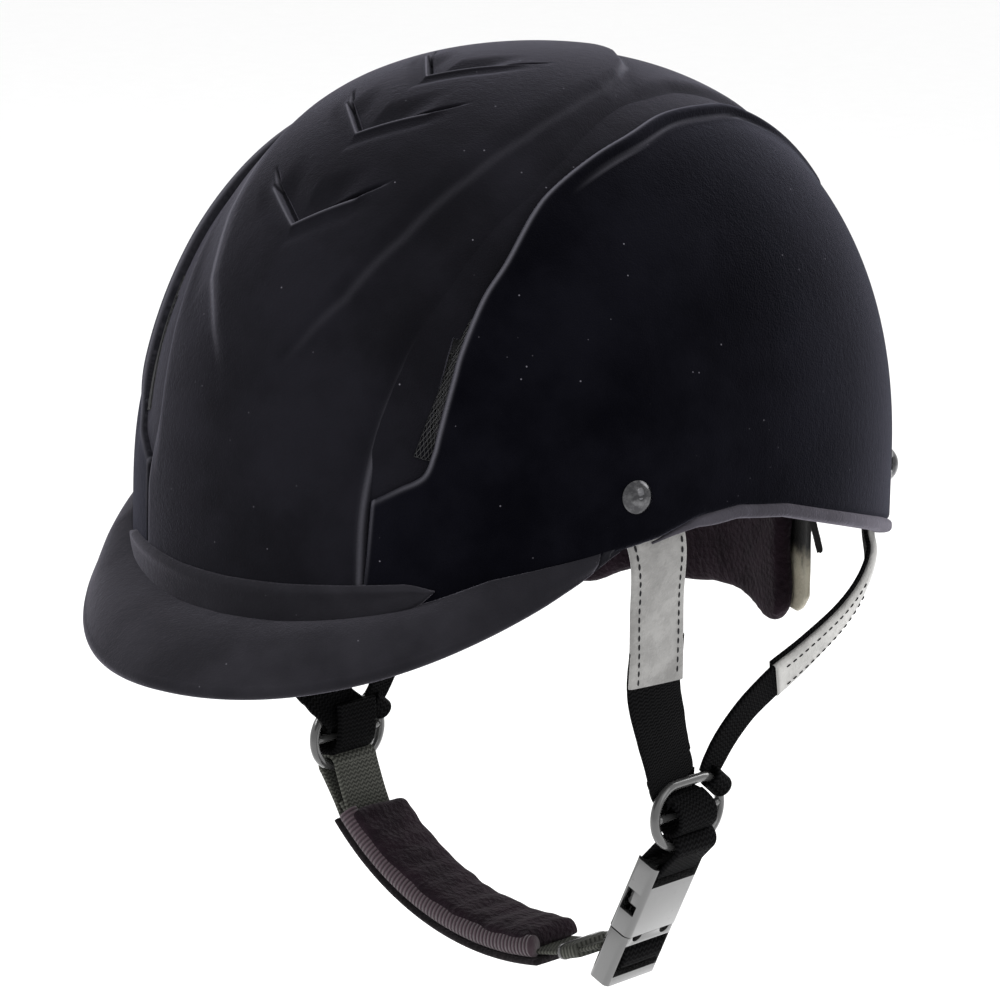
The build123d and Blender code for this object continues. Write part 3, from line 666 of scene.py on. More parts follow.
def peak_band():
    """Band along the joint, a pad-shaped strip with rounded tips and a soft bulge."""
    half_length = 60.8
    x = (graded(181, [(0, 5, 0.01), (1, 5, 0.01)]) * 2 - 1) * half_length
    out = np.abs(x)
    top = np.interp(out, [0, 20, 40, 54, half_length], [-12.2, -11.8, -10.6, -9.6, -10.6])
    low = np.interp(
        out, [0, 15, 34, 46, 53, 58, half_length], [-26.8, -26.2, -23.2, -20.8, -18.6, -15.6, -12.6]
    )
    across = graded(25, [(0, 2, 0.08), (1, 2, 0.08)])
    half = (top - low) / 2
    middle = (top + low) / 2
    tip = np.sqrt(np.clip(1 - np.clip((out - 55.5) / 5.4, 0, 1) ** 2, 0.0001, 1))
    z = middle[:, None] + half[:, None] * tip[:, None] * (across[None] * 2 - 1)
    x = np.repeat(x[:, None], across.size, axis=1)
    y = -FRONT * np.sqrt(1 - (x / HALF_WIDTH) ** 2)
    points = np.stack([x, y, z], axis=-1)
    edge = np.minimum(across, 1 - across)[None] * (top - low)[:, None]
    end = np.clip(half_length - np.abs(x), 0, 20)
    bulge = 1.9 - rolled(np.minimum(edge, end + 0.2), 1.9) + 0.35 * hump(across[None] + 0 * x, 0.82, 0.12)
    points = points + outward(points * [1, 1, 0]) * bulge[..., None]
    bm = sheet_mesh(points)
    close_under(bm, (0, 0, -0.018), 0.004)
    publish(bm, "velvet_peak_band", LIT_VELVET, replaces=["peak_band"])


peak_band()


# ---- Front straps --------------------------------------------------------------------------
# At each temple a grey leather tab, cut flat and edge-stitched in dark thread, hangs from the
# rivet inside the shell. 20 mm nylon webbing is sewn behind its end and runs down to the ring.
def sweep(path, normals, section, closed=False):
    """A bmesh of a closed section carried along a path. section rows are (side, out)."""
    tangent = np.gradient(path, axis=0)
    if closed:
        tangent = np.roll(path, -1, axis=0) - np.roll(path, 1, axis=0)
    tangent = unit(tangent)
    side = unit(np.cross(tangent, normals))
    out = np.cross(side, tangent)
    section = np.array(section, float)
    if section.ndim == 2:
        section = np.repeat(section[None], len(path), axis=0)
    points = path[:, None] + side[:, None] * section[..., :1] + out[:, None] * section[..., 1:]
    run = run_along(path)
    if closed:
        points = np.concatenate([points, points[:1]])
        run = np.append(run, run[-1] + np.linalg.norm(path[0] - path[-1]))
    bm = patterned(points, run, section[0, :, 0])
    bmesh.ops.remove_doubles(bm, verts=bm.verts, dist=1e-7)
    if not closed:
        fill_open(bm)
    return bm


def patterned(points, run, across):
    """A bent grid with its length and width, in units of 100 mm, as a UV map."""
    bm, crossings = bent_grid(points)
    layer = bm.loops.layers.uv.new("along_and_across")
    for face in bm.faces:
        for loop in face.loops:
            i, j = crossings[loop.vert.index]
            loop[layer].uv = (run[i] / 100, across[j] / 100)
    return bm


def strap_section(width, thickness, crown=0.0, steps=12):
    """Closed outline of a flat strap with round edges, a little thicker in the middle."""
    half, r = width / 2, thickness / 2
    flat = np.linspace(-half + r, half - r, steps)
    bulge = crown * (1 - (flat / half) ** 2)
    turn = np.radians([-60, -30, 0, 30, 60])
    right = [(half - r + r * math.cos(t), r * math.sin(t)) for t in turn[::-1]]
    left = [(-half + r - r * math.cos(t), r * math.sin(t)) for t in turn]
    top = list(zip(flat, r + bulge))
    low = list(zip(flat[::-1], -r - bulge[::-1] * 0.4))
    outline = top + right + low + left
    return outline + outline[:1]


def laid(stations, count):
    """Path and normals of a strap through (place, outward direction) stations."""
    both = spline([(*place, *[40 * n for n in normal]) for place, normal in stations], count)
    return both[:, :3], unit(both[:, 3:])


def wall_station(y, z, depth):
    """Place and outward direction on the left wall, at a depth under the outer surface."""
    along = y - RAKE * z
    length = (FRONT if along < 0 else REAR) - depth
    up = max(z, 0) / (CROWN - depth)
    level = (1 - up**FULLNESS) ** (1 / FULLNESS)
    wide = HALF_WIDTH - depth
    x = wide * math.sqrt(level**2 - (along / length) ** 2)
    normal = Vector((x / wide**2, along / length**2, 0)).normalized()
    return (x, y, z), tuple(normal)


def flipped(bm, side):
    """The same piece for the wearer's right when side is -1."""
    if side < 0:
        bmesh.ops.scale(bm, verts=bm.verts, vec=(-1, 1, 1))
    return bm


def joined(*meshes):
    """One bmesh from several."""
    whole = meshes[0]
    for other in meshes[1:]:
        data = bpy.data.meshes.new("part")
        other.to_mesh(data)
        other.free()
        whole.from_mesh(data)
        bpy.data.meshes.remove(data)
    return whole


def stitches(places, headings, normals, length=2.3, girth=0.38):
    """Short raised threads, each a squashed ball of a few dozen faces."""
    bm = bmesh.new()
    for place, heading, normal in zip(places, headings, normals):
        made = bmesh.ops.create_uvsphere(bm, u_segments=6, v_segments=5, radius=1)["verts"]
        along = Vector(heading).normalized()
        out = Vector(normal).normalized()
        side = along.cross(out)
        for vert in made:
            x, y, z = vert.co
            vert.co = (Vector(place) + along * z * length / 2 + side * x * girth + out * y * girth) / 1000
    return bm


def seams(path, normals, offset, lift, first, last, pitch=3.3):
    """Places, headings and outward directions of a row of stitches along each side of a strap."""
    tangent = unit(np.gradient(path, axis=0))
    side = np.cross(tangent, normals)
    run = run_along(path)
    at = np.arange(first, run[-1] - last, pitch)
    rows = []
    for line in (path - side * offset + normals * lift, path + side * offset + normals * lift):
        parts = (line, tangent, normals)
        rows.append([np.stack([np.interp(at, run, c) for c in part.T], 1) for part in parts])
    return [np.concatenate(part) for part in zip(*rows)]


def leather(name, dark, light):
    """Smooth-grained leather: soft creases, a fine pebble and patchy dye."""
    made = Finish(name, Roughness=0.42, Specular_IOR_Level=0.5, Coat_Weight=0.12, Coat_Roughness=0.3)
    spot = made.place()
    patch = made.noise(spot, 70.0, 4.0, 0.6)
    pebble = made.cells(spot, 1100.0)
    crease = made.ramp(made.noise(spot, 210.0, 5.0, 0.65), 0.42, 0.6)
    tone = made.ramp(patch, 0.3, 0.7)
    made.feed("Base Color", made.blend(tone * 0.75 + crease * 0.25, dark, light))
    made.feed("Roughness", 0.34 + patch * 0.2)
    made.relief(pebble * 0.5 + crease * 0.9, 0.00025, 0.7)
    return made.material


def webbing(name, dark, light, rib=1.35, gloss=0.025):
    """Woven nylon: rows of ribs across the strap that zigzag from column to column."""
    made = Finish(name, Roughness=0.7, Specular_IOR_Level=gloss)
    weave = made.place("UV")
    run = made.axis(weave, "X") * 100.0
    across = made.axis(weave, "Y") * 100.0
    column = across / 2.1
    zig = (column - column.floor() - 0.5).absolute() * 1.5
    rows = ((run + zig) * (2 * math.pi / rib)).sine() * 0.5 + 0.5
    yarn = (across * (2 * math.pi / 0.7)).sine() * 0.5 + 0.5
    fuzz = made.noise(made.place(), 900.0, 2.0)
    height = rows * 0.7 + yarn * 0.2 + fuzz * 0.2
    made.feed("Base Color", made.blend(rows * 0.75 + fuzz * 0.25, dark, light))
    made.feed("Roughness", 0.82 - rows * 0.14)
    made.relief(height, 0.0004, 0.9)
    return made.material


LEATHER = leather("grey_leather", (0.15, 0.147, 0.142), (0.27, 0.266, 0.258))
THREAD = webbing("dark_thread", (0.008, 0.008, 0.009), (0.03, 0.03, 0.033))
WEBBING = webbing("black_webbing", (0.0003, 0.0003, 0.0004), (0.0055, 0.0055, 0.006))
OLIVE = webbing("olive_webbing", (0.022, 0.023, 0.02), (0.105, 0.107, 0.093), gloss=0.1)


TAB_DEPTH = 6.5
FRONT_TAB = [
    wall_station(-50.5, 22, TAB_DEPTH), wall_station(-48.5, 11, TAB_DEPTH), wall_station(-44, -5, TAB_DEPTH),
    ((88.2, -37.8, -24), (0.955, -0.29, 0.08)), ((84.1, -32.9, -40), (0.945, -0.31, 0.15)),
    ((80.8, -29.4, -52.5), (0.93, -0.34, 0.18)),
]
FRONT_WEB = [
    ((85.2, -34.0, -36), (0.94, -0.32, 0.18)), ((80.0, -28.8, -52), (0.93, -0.34, 0.2)),
    ((76.4, -21.0, -66), (0.93, -0.33, 0.22)), ((72.6, -12.8, -79), (0.96, -0.2, 0.18)),
    ((69.4, -8.0, -86.0), (0.99, -0.06, 0.1)), ((68.2, -6.2, -90), (1, 0, 0)),
]
RING_WRAP = [
    (68.9, -4.6, -89.8), (72.4, -3.6, -91.6), (75.6, -2.8, -95.0), (75.7, -2.4, -99.2), (73.2, -2.0, -102.0),
    (69.6, -1.8, -102.2), (66.6, -1.6, -99.0), (65.9, -1.5, -93.0), (66.2, -1.5, -85.5),
]


def facing(path):
    """Directions square to a path that bends round bars along Y."""
    return unit(np.cross(np.gradient(path, axis=0), np.array([0, 1.0, 0])))


def front_straps(side, word):
    path, normals = laid(FRONT_TAB, 90)
    widths = np.interp(np.linspace(0, 1, 90), [0, 0.3, 0.5, 1], [21, 19.6, 19.2, 19.4])
    sections = [strap_section(w, 2.0, 0.25) for w in widths]
    tab = sweep(path, normals, sections)
    bmesh.ops.bisect_plane(
        tab, geom=tab.verts[:] + tab.edges[:] + tab.faces[:], plane_co=(0.0808, -0.0294, -0.0496),
        plane_no=Vector((0.05, 0.03, -1)).normalized(), clear_outer=True,
    )
    fill_open(tab)
    publish(flipped(tab, side), f"front_tab_{word}", LEATHER,
            replaces=[f"front_leather_{word}"])
    places, headings, outs = seams(path, normals, 7.9, 1.22, 24, 5.0)
    end = path[-1] + normals[-1] * 1.25
    heading = unit(np.cross(np.gradient(path, axis=0)[-1], normals[-1]))
    for share in np.linspace(-6.6, 6.6, 6):
        places = np.vstack([places, end + heading * share + np.array([0.7, -0.6, 4.6])])
        headings = np.vstack([headings, heading])
        outs = np.vstack([outs, normals[-1]])
    sewn = stitches(places, headings, outs)
    publish(flipped(sewn, side), f"front_tab_stitching_{word}", THREAD)
    path, normals = laid(FRONT_WEB, 120)
    along = np.linspace(0, 1, 220)
    whole = spline([*path[:104:8], *RING_WRAP], 220)
    outs = facing(whole)
    share = rise(along, 0.35, 0.6)[:, None]
    guide = np.stack([np.interp(along, np.linspace(0, 0.6, 120), n) for n in normals.T], 1)
    flip = np.sign((outs[:60] * guide[:60]).sum())
    outs = guide * (1 - share) + outs * flip * share
    widths = np.interp(along, [0, 0.45, 0.62, 1], [19.6, 19.6, 17.6, 17.6])
    strap = sweep(whole, outs, [strap_section(w, 1.5) for w in widths])
    publish(flipped(strap, side), f"front_strap_{word}", WEBBING,
            replaces=[f"front_webbing_{word}"])


front_straps(1, "left")
front_straps(-1, "right")


# ---- Rear straps ---------------------------------------------------------------------------
# Behind each ear a narrow pale leather strip on a black backing comes down from the rear rivet
# and twists forward. Thin black webbing sewn into its end goes on to the ring's rear corner.
REAR_TAB = [
    wall_station(91.8, 5, 6.2), wall_station(91.8, -12, 6.2), wall_station(91.0, -25, 5.8),
    ((71.8, 88.5, -33), (0.78, 0.6, -0.1)), ((73.9, 80.5, -41), (0.84, 0.48, -0.25)),
    ((74.8, 68.5, -49), (0.9, 0.3, -0.3)), ((74.4, 52, -57), (0.95, 0.12, -0.3)),
    ((73.4, 38, -63), (0.96, 0.0, -0.28)),
]
REAR_WEB = [
    ((73.2, 42, -61.5), (0.96, 0.0, -0.28)), ((72.8, 36, -64), (0.97, 0, -0.24)),
    ((71.6, 26, -70), (0.98, 0, -0.2)), ((70.2, 18, -77.5), (1, 0, -0.1)),
    ((69.4, 12.5, -84.5), (1, 0, 0)), ((69.6, 9.4, -88.2), (1, 0, 0)),
]


def rear_straps(side, word):
    path, normals = laid(REAR_TAB, 110)
    widths = np.interp(np.linspace(0, 1, 110), [0, 0.3, 0.55, 1], [11, 8.4, 10, 12.6])
    tab = sweep(path, normals, [strap_section(w, 2.4, 0.35) for w in widths])
    publish(flipped(tab, side), f"rear_tab_{word}", PALE_LEATHER,
            replaces=[f"rear_leather_{word}"])
    lining = sweep(path - normals * 1.5, normals, [strap_section(w + 1.7, 1.3, 0.2) for w in widths])
    publish(flipped(lining, side), f"rear_tab_lining_{word}", WEBBING)
    sewn = stitches(*seams(path, normals, 3.6, 1.5, 52, 3, 3.0), 1.9, 0.3)
    publish(flipped(sewn, side), f"rear_tab_stitching_{word}", THREAD)
    path, normals = laid(REAR_WEB, 80)
    widths = np.interp(np.linspace(0, 1, 80), [0, 0.25, 0.8, 1], [12.5, 11.5, 10, 8.5])
    web = sweep(path, normals, [strap_section(w, 1.7) for w in widths])
    corner = np.array([70.6, 12.5, -90.2])
    turns = np.linspace(math.radians(100), math.radians(460), 41)[:-1, None]
    circle = corner + 2.9 * (np.cos(turns) * [1.0, 0, 0] + np.sin(turns) * [0, 0.62, 0.78])
    eye_loop = sweep(circle, unit(circle - corner), strap_section(8.5, 1.5), closed=True)
    publish(flipped(joined(web, eye_loop), side), f"rear_strap_{word}", WEBBING,
            replaces=[f"rear_webbing_{word}"])


PALE_LEATHER = leather("pale_leather", (0.3, 0.295, 0.285), (0.46, 0.455, 0.44))
rear_straps(1, "left")
rear_straps(-1, "right")


# ---- Strap rings ---------------------------------------------------------------------------
# A dark grey moulded oval ring with a middle bar at each side gathers the three straps. Its
# bars are round and smooth, with a soft shine.
def plastic(name, dark, light, rough, coat, level=0.5):
    """Moulded plastic: faint cloudy colour, a fine orange-peel skin and a clear gloss."""
    made = Finish(name, Roughness=rough, Specular_IOR_Level=level, Coat_Roughness=0.08, Coat_IOR=1.7)
    spot = made.place()
    cloud = made.noise(spot, 120.0, 3.0)
    scuff = made.ramp(made.noise(spot, 700.0, 4.0, 0.7), 0.6, 0.75)
    made.feed("Base Color", made.blend(cloud, dark, light))
    made.feed("Roughness", rough + scuff * 0.14 + cloud * 0.05)
    made.feed("Coat Weight", coat - scuff * 0.3)
    made.relief(made.noise(spot, 330.0, 2.0), 0.00006, 0.5)
    return made.material


RING_GREY = plastic("ring_plastic", (0.03, 0.03, 0.03), (0.06, 0.06, 0.06), 0.2, 0.5)


def round_bar(radius):
    return [(radius * math.cos(t), radius * math.sin(t)) for t in np.linspace(0, 2 * math.pi, 15)]


def strap_ring(side, word):
    centre = np.array([70.6, -1.0, -97.0])
    straight, bend = 6.0, 9.5
    oval = []
    for turn in np.radians(np.arange(0, 360, 6.0)):
        end = straight if math.cos(turn) >= 0 else -straight
        oval.append(centre + np.array([0, bend * math.cos(turn) + end, bend * math.sin(turn)]))
    oval = np.array(oval)
    ring = sweep(oval, np.tile([1.0, 0, 0], (len(oval), 1)), round_bar(1.55), closed=True)
    bar = np.stack([centre + np.array([0, y, 0]) for y in np.linspace(-14.6, 14.6, 21)])
    middle = sweep(bar, np.tile([1.0, 0, 0], (len(bar), 1)), round_bar(1.35))
    publish(flipped(joined(ring, middle), side), f"ring_{word}", RING_GREY,
            replaces=[f"strap_ring_{word}"])


strap_ring(1, "left")
strap_ring(-1, "right")


# ---- Rivets --------------------------------------------------------------------------------
# Four domed chrome rivets hold the leather tabs to the shell, over small steel washers inside.
# The turned solids stay as they are and take the plate's finish.
def chrome():
    made = Finish("chrome", Metallic=1.0, Roughness=0.12)
    spot = made.place()
    haze = made.ramp(made.noise(spot, 380.0, 4.0, 0.7), 0.4, 0.75)
    drawn = made.node("Mapping", {}, {"Vector": spot, "Scale": (1, 14, 3)}).outputs[0]
    scratch = made.noise(drawn, 500.0, 2.0)
    # Painted dark reflection: the plate's colour is kept far darker than chrome, patchy with haze.
    made.feed("Base Color", made.blend(haze, (0.05, 0.05, 0.053), (0.13, 0.13, 0.135)))
    made.feed("Roughness", 0.08 + haze * 0.14)
    made.relief(scratch, 0.00003, 0.4)
    return made.material


CHROME = chrome()
finish_node("strap_rivets", CHROME)
finish_node("rivet_washers", CHROME)


# ---- Rim binding ---------------------------------------------------------------------------
# Grey velvet tape is folded round the shell's lower edge from behind the temple, over the ear
# and round the nape. It is glued, soft and full.
GREY_VELVET = flocked("grey_velvet", (0.03, 0.028, 0.034), (0.07, 0.066, 0.08), (0.85, 0.8, 0.95), 1.5, 0.3)


def squarish(value, power):
    """Swells a sine or cosine so that a circle turns into a rounded box."""
    return np.sign(value) * abs(value) ** power


def rim_binding():
    turn = np.radians(np.linspace(-27, 207, 321))
    x = np.cos(turn)
    y = np.sin(turn)
    length = np.where(y < 0, FRONT, REAR)
    reach = 1 / np.hypot(x / HALF_WIDTH, y / length)
    place = np.stack([x * reach, y * reach, rim_height(y * reach)], axis=-1)
    normal = unit(np.stack([x / HALF_WIDTH**2, y / length**2, 0 * x], axis=-1))
    path = place - normal * 3.0 - [0, 0, 1.4]
    outline = [
        (2.3 * squarish(math.sin(t), 0.7), 3.5 * squarish(math.cos(t), 0.8))
        for t in np.linspace(0, 2 * math.pi, 25)
    ]
    near_end = np.minimum(np.arange(321), np.arange(321)[::-1])
    sections = [[(a * s, b * s) for a, b in outline] for s in 0.15 + 0.85 * rise(near_end, 0, 16)]
    bm = sweep(path, normal, sections)
    publish(bm, "grey_binding", GREY_VELVET, replaces=["rim_binding"])


rim_binding()


# ---- Vent mesh -----------------------------------------------------------------------------
# A strip of woven diamond mesh closes each long front vent, set back behind the wing's edge.
# It is cut from sheet and glued in from behind.
VENT_LINE = [(57.9, -104.0, 26), (58.4, -102.4, 31), (59, -95.5, 47), (59.2, -89.5, 59), (59.4, -86, 65)]


def vent_mesh(side, word):
    bm = bmesh.new()
    bmesh.ops.create_grid(bm, x_segments=34, y_segments=34, size=0.0238)
    bmesh.ops.rotate(bm, verts=bm.verts, cent=(0, 0, 0), matrix=Matrix.Rotation(math.radians(45), 3, "Z"))
    bmesh.ops.scale(bm, verts=bm.verts, vec=(0.8, 1.15, 1))
    half_wide, half_long = 0.0036, 0.017
    for way in ((1, 0, 0), (-1, 0, 0), (0, 1, 0), (0, -1, 0)):
        bmesh.ops.bisect_plane(
            bm, geom=bm.verts[:] + bm.edges[:] + bm.faces[:],
            plane_co=(way[0] * half_wide, way[1] * half_long, 0), plane_no=way, clear_outer=True,
        )
    line = snap(spline(VENT_LINE, 300))

    def at(share):
        return np.array([np.interp(share, np.linspace(-half_long, half_long, 300), c) for c in line.T])

    for vert in bm.verts:
        place = at(vert.co.y)
        ahead = at(vert.co.y + 0.0006) - at(vert.co.y - 0.0006)
        across = np.cross(ahead, outward(place[None])[0])
        across *= -np.sign(across[0]) / np.linalg.norm(across)
        reach = (half_wide - vert.co.x) * 1000 * np.interp(vert.co.y, [-half_long, half_long], [0.8, 0.3])
        vert.co = snap((place + across * (reach - 1.0))[None])[0] * 0.984 / 1000
    mesh = publish(flipped(bm, side), f"vent_screen_{word}", SCREEN,
                   replaces=[f"vent_mesh_{word}"])
    wires = mesh.modifiers.new("wires", "WIREFRAME")
    wires.thickness = 0.00042
    wires.use_even_offset = False


SCREEN = plastic("vent_screen", (0.012, 0.012, 0.013), (0.035, 0.035, 0.037), 0.5, 0.12, 0.2)
vent_mesh(1, "left")
vent_mesh(-1, "right")


# ---- Liner and comfort padding -------------------------------------------------------------
# Expanded-bead foam blocks line the shell. Brushed knit pads over soft foam sit inside them at
# the brow, the nape, both sides and the crown, held on hook patches.
def bead_foam():
    made = Finish("liner_foam", Roughness=0.8, Specular_IOR_Level=0.3)
    spot = made.place()
    bead = made.cells(spot, 320.0)
    tint = made.noise(spot, 60.0)
    made.feed("Base Color", made.blend(bead * 0.8 + tint * 0.2, (0.012, 0.012, 0.013), (0.035, 0.035, 0.037)))
    made.feed("Roughness", 0.65 + bead * 0.3)
    made.relief(1.0 - bead, 0.0006, 0.8)
    return made.material


FOAM = bead_foam()
for node in sorted(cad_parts):
    if node.startswith("liner_"):
        finish_node(node, FOAM)


def cad_mesh(node):
    """A bmesh of this CAD node's surface with the doubles merged."""
    bm = bmesh.new()
    bm.from_mesh(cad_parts[node].data)
    bmesh.ops.remove_doubles(bm, verts=bm.verts, dist=1e-6)
    return bm


def remeshed(bm, name, voxel, rounds):
    """The same closed form in even quads, with its edges rubbed round."""
    piece = stood(bm, name)
    remesh = piece.modifiers.new("even", "REMESH")
    remesh.mode = "VOXEL"
    remesh.voxel_size = voxel
    graph = bpy.context.evaluated_depsgraph_get()
    even = bpy.data.meshes.new_from_object(piece.evaluated_get(graph))
    bpy.data.objects.remove(piece)
    bm = bmesh.new()
    bm.from_mesh(even)
    for _ in range(rounds):
        bmesh.ops.smooth_vert(
            bm, verts=bm.verts, factor=0.5, use_axis_x=True, use_axis_y=True, use_axis_z=True
        )
    return bm


def puckered(bm, depth, size):
    """Small dents and swells of soft cloth over foam."""
    bm.normal_update()
    for vert in bm.verts:
        vert.co += vert.normal * depth * noise.noise(vert.co / size)


KNIT = flocked("comfort_fabric", (0.012, 0.01, 0.014), (0.03, 0.026, 0.034), (0.75, 0.7, 0.8), 2.0, 0.12)
for node, name in (
    ("brow_pad", "brow_cushion"), ("nape_comfort_pad", "rear_cushion"),
    ("side_comfort_pads", "side_cushions"), ("crown_pad", "crown_cushion"),
):
    pad = remeshed(cad_mesh(node), name, 0.0016, 6)
    puckered(pad, 0.0005, 0.016)
    cushion = publish(pad, name, KNIT, replaces=[node])


# ---- Chin strap ----------------------------------------------------------------------------
# 20 mm olive-grey webbing runs under the chin on one even curve. Its right end is sewn into a
# loop on the ring, and the left end passes through an elastic keeper to the buckle's plug.
ARC_X, ARC_Z, ARC_RADIUS = 6.0, -59.0, 92.0


def arc_path(first, last, count, rise_by=0.0):
    turns = np.radians(np.linspace(first, last, count))
    out = np.stack([np.cos(turns), 0 * turns, np.sin(turns)], axis=1)
    return np.array([ARC_X, -1.0, ARC_Z]) + out * (ARC_RADIUS + rise_by), out


def chin_webbing():
    path, outs = arc_path(219.5, 294.4, 140)
    strap = sweep(path, outs, strap_section(19.6, 1.6))
    piece = publish(strap, "chin_strap_web", OLIVE, body=None, replaces=["chin_webbing"])
    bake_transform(piece)
    ring_bar = np.array([-70.6, -1.0, -106.5])
    strap_end = path[0]
    away = (strap_end - ring_bar) / np.linalg.norm(strap_end - ring_bar)
    across = np.array([-away[2], 0, away[0]])
    loop = [
        ring_bar - away * 3.6 * math.cos(t) + across * 3.6 * math.sin(t)
        for t in np.radians(np.linspace(-112, 112, 22))
    ]
    low = [strap_end + across * 1.9 + away * 8, strap_end + across * 2.2 - away * 1.0]
    high = [strap_end - across * 2.2 - away * 1.0, strap_end - across * 1.9 + away * 8]
    loop = loop if np.dot(loop[0] - ring_bar, across) < 0 else loop[::-1]
    whole = spline([*high[::-1], *loop, *low[::-1]], 150)
    bulk = sweep(whole, facing(whole), strap_section(19.4, 1.5, 0.1))
    folded = publish(
        bulk, "chin_ring_loop", OLIVE, body=None, replaces=["chin_loop_right"]
    )
    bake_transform(folded)


chin_webbing()


# ---- Chin pad ------------------------------------------------------------------------------
# A plum fleece sleeve is folded over the webbing under the chin. Its front edge shows ribbed
# mauve knit, and a separate dark layer is sewn underneath.
def fleece(name, dark, light, pile, sheen):
    made = Finish(
        name, Roughness=0.95, Specular_IOR_Level=0.1, Sheen_Weight=sheen, Sheen_Roughness=0.5,
        Sheen_Tint=(0.85, 0.75, 0.82, 1.0),
    )
    spot = made.place()
    tuft = made.noise(spot, 620.0 / pile, 4.0, 0.7)
    patch = made.ramp(made.noise(spot, 80.0, 3.0), 0.35, 0.65)
    clump = made.cells(spot, 520.0 / pile)
    made.feed("Base Color", made.blend(tuft * 0.6 + patch * 0.4, dark, light))
    made.feed("Roughness", 0.86 + tuft * 0.12)
    made.relief(tuft + clump * 0.6, 0.0009 * pile, 0.9)
    return made.material


def ribbed_knit():
    made = Finish("mauve_rib", Roughness=0.9, Specular_IOR_Level=0.08, Sheen_Weight=0.18)
    weave = made.place("UV")
    run = made.axis(weave, "X") * 100.0
    tuft = made.noise(made.place(), 900.0, 3.0)
    rib = (run * (2 * math.pi / 1.5)).sine() * 0.5 + 0.5
    made.feed("Base Color", made.blend(rib * 0.7 + tuft * 0.3, (0.016, 0.0095, 0.013), (0.09, 0.064, 0.076)))
    made.feed("Roughness", 0.8 + tuft * 0.15)
    made.relief(rib + tuft * 0.5, 0.0006, 0.9)
    return made.material


PLUM = fleece("plum_fleece", (0.0028, 0.0012, 0.0026), (0.017, 0.0088, 0.014), 1.0, 0.08)
RIBBED = ribbed_knit()


def chin_pad():
    path, outs = arc_path(222.6, 277.4, 170)
    share = np.linspace(0, 1, 170)
    end = np.clip(np.minimum(share, 1 - share) * 90 / 4.0, 0, 1)
    full = np.sqrt(np.clip(1 - (1 - end) ** 2, 0.05, 1))
    sections = []
    turns = np.linspace(0, 2 * math.pi, 45)
    for i, f in enumerate(full):
        swell = 1 + 0.07 * math.sin(i * 0.42) + 0.05 * math.sin(i * 0.173 + 1.0)
        outline = []
        for t in turns:
            across = 12.2 * (0.86 + 0.14 * f) * squarish(math.cos(t), 0.62)
            deep = squarish(math.sin(t), 0.75)
            height = -1.3 - 2.9 * f + deep * (2.9 * f * (swell if deep < 0 else 1) + 0.25)
            outline.append((across, height))
        sections.append(outline)
    pad = sweep(path, outs, sections)
    puckered(pad, 0.0006, 0.006)
    sleeve = publish(pad, "chin_fleece", PLUM, body="chin_pad", replaces=["chin_pad_fleece"])
    edge_outline = [
        (math.cos(t) * 2.9 - 10.6, math.sin(t) * 3.5 - 2.0) for t in np.linspace(0, 2 * math.pi, 17)
    ]
    edge_path, edge_outs = arc_path(222.2, 277.8, 170)
    ribbing = sweep(edge_path, edge_outs, edge_outline)
    publish(ribbing, "chin_fleece_edge", RIBBED, body="chin_pad")
    base_path, base_outs = arc_path(222.0, 278.6, 150, 2.9)
    base = sweep(base_path, base_outs, strap_section(25.4, 1.9, 0.25, 16))
    backing = publish(base, "chin_pad_underlayer", DARK_FELT, body="chin_pad",
                      replaces=["chin_pad_backing"])


DARK_FELT = fleece("dark_felt", (0.002, 0.0018, 0.002), (0.014, 0.012, 0.013), 0.8, 0.1)
chin_pad()


# ---- Buckle --------------------------------------------------------------------------------
# A glossy black side-release buckle in four moulded parts: the socket, the wedge-shaped plug
# and its two spring prongs. Webbing loops hold the socket to the ring and the plug to the strap.
def eased(node, name, body, width):
    """A CAD part with its sharp edges rounded, as they leave the mould."""
    bm = cad_mesh(node)
    bmesh.ops.dissolve_limit(bm, angle_limit=math.radians(1.5), verts=bm.verts, edges=bm.edges)
    sharp = [edge for edge in bm.edges if edge.is_manifold and edge.calc_face_angle() > math.radians(28)]
    bmesh.ops.bevel(
        bm, geom=sharp, offset=width, offset_type="OFFSET", segments=3, profile=0.5, affect="EDGES",
        material=-1, clamp_overlap=True,
    )
    piece = stood(bm, name)
    piece.data.materials.append(BUCKLE)
    piece.data.shade_smooth()
    piece.data.set_sharp_from_angle(angle=math.radians(40))
    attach(piece, body)
    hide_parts(node)


BUCKLE = plastic("buckle_plastic", (0.012, 0.012, 0.012), (0.03, 0.03, 0.03), 0.16, 1.0, 0.9)
eased("buckle_socket", "clip_socket", "chin_strap", 0.0005)
eased("buckle_plug", "clip_plug", "buckle_plug", 0.0005)
eased("buckle_prong_front", "clip_prong_front", "prong_front", 0.00035)
eased("buckle_prong_rear", "clip_prong_rear", "prong_rear", 0.00035)


def loop_round(first, last, radius):
    """Closed path round two bars that lie along Y, or round one bar given twice."""
    away = last - first
    start = math.atan2(away[2], away[0]) + math.pi / 2
    turns = np.linspace(start, start + 2 * math.pi, 72, endpoint=False)
    out = np.stack([np.cos(turns), 0 * turns, np.sin(turns)], axis=1)
    behind = (turns - start) < math.pi
    base = np.where(behind[:, None], first, last)
    return spline(np.vstack([base + out * radius, base[:1] + out[:1] * radius]), 121)[:-1]


def sewn_loop(node, name, body, bars, radius):
    path = loop_round(*(np.array([x, -1.0, z]) for x, z in bars), radius)
    tangent = np.roll(path, -1, axis=0) - np.roll(path, 1, axis=0)
    outs = unit(np.cross(tangent, np.array([0, 1.0, 0])))
    outs *= np.sign((outs * (path - path.mean(axis=0))).sum())
    loop = sweep(path, outs, strap_section(19.0, 1.5, 0.15), closed=True)
    return publish(loop, name, WEBBING, body=body, replaces=[node])


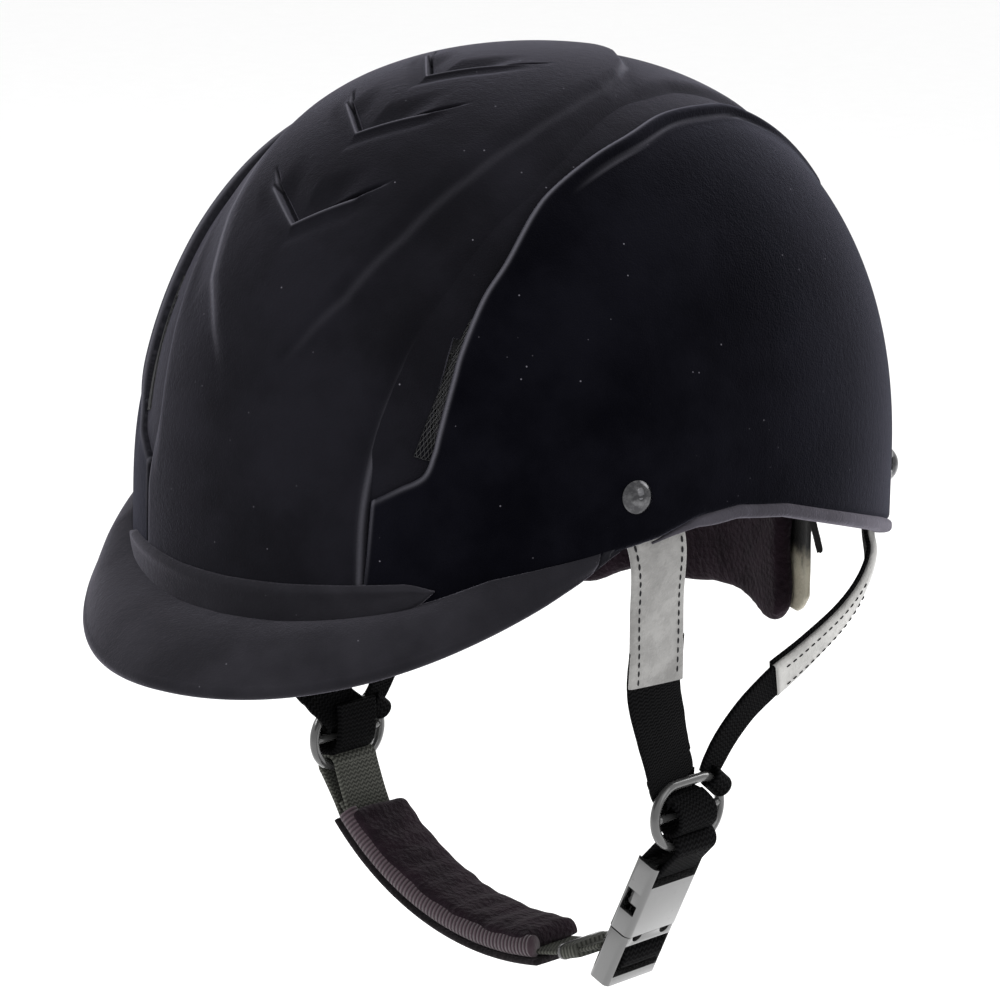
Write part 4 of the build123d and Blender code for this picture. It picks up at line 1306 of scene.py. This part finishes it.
socket_web = sewn_loop("socket_loop", "socket_web", None, [(70.6, -106.5), (63.7, -113.6)], 3.5)
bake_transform(socket_web)
low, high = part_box("plug_loop")
plug_centre = (low + high) * 500
sewn_loop("plug_loop", "plug_web", "buckle_plug", [(plug_centre.x, plug_centre.z)] * 2, 4.1)


# ---- Keeper --------------------------------------------------------------------------------
# A band of ribbed olive elastic is slid over the webbing and holds the strap's free end. Its
# inner edge is bound in smooth grey plastic.
def keeper():
    path, outs = arc_path(284.6, 288.6, 24)
    band = sweep(path, outs, strap_section(22.8, 4.4, 0.2))
    publish(band, "elastic_keeper", OLIVE, body="keeper", replaces=["keeper_loop"])
    edge_path, edge_outs = arc_path(284.3, 284.9, 6)
    edge = sweep(edge_path, edge_outs, strap_section(23.2, 4.9, 0.2))
    publish(edge, "keeper_edge", RING_GREY, body="keeper")


keeper()


# ---- Nape pad ------------------------------------------------------------------------------
# A plum fleece pad cradles the nape under the rear rim. It is stitched to a leather-cloth
# backing whose cream ends show beside it, and hangs on two webbing tabs and thin laces.
def nape_group():
    pad = remeshed(cad_mesh("nape_pad"), "nape_pad_form", 0.0015, 9)
    puckered(pad, 0.0009, 0.011)
    cushion = publish(pad, "nape_fleece", PLUM, body="nape_pad", replaces=["nape_pad"])
    back = remeshed(cad_mesh("nape_backing"), "nape_back_form", 0.0009, 3)
    puckered(back, 0.0004, 0.012)
    for vert in back.verts:
        if vert.co.y > 0.09 and abs(vert.co.x) > 0.03:
            vert.co.y += 0.0055 * float(rise(abs(vert.co.x) * 1000, 30, 44))
    publish(back, "nape_leather_back", CREAM, body="nape_pad", replaces=["nape_backing"])
    for node, name, material, slot, voxel in (
        ("nape_hangers", "nape_tabs", WEBBING, "black_webbing", 0.0006),
        ("nape_laces", "nape_cords", LACE, "lace", 0.0005),
    ):
        bm = remeshed(cad_mesh(node), name, voxel, 2)
        strip = publish(bm, name, material, body=None, replaces=[node])
        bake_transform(strip)


def cream_leather():
    made = Finish("cream_leather", Roughness=0.5, Specular_IOR_Level=0.4)
    spot = made.place()
    height = made.axis(spot, "Z")
    patch = made.noise(spot, 140.0, 4.0, 0.65)
    # Painted shade: the cream turns black towards the top of the backing, ragged by the patch noise.
    painted_top_shade = made.ramp(height + patch * 0.014, -0.031, -0.022)
    base = made.blend(patch, (0.3, 0.27, 0.2), (0.5, 0.47, 0.38))
    made.feed("Base Color", made.blend(painted_top_shade, base, (0.004, 0.004, 0.004)))
    made.feed("Roughness", 0.42 + patch * 0.2)
    made.relief(made.cells(spot, 1000.0) + patch, 0.0002, 0.7)
    return made.material


CREAM = cream_leather()
LACE = webbing("lace", (0.003, 0.003, 0.003), (0.02, 0.02, 0.02), 0.8)
nape_group()
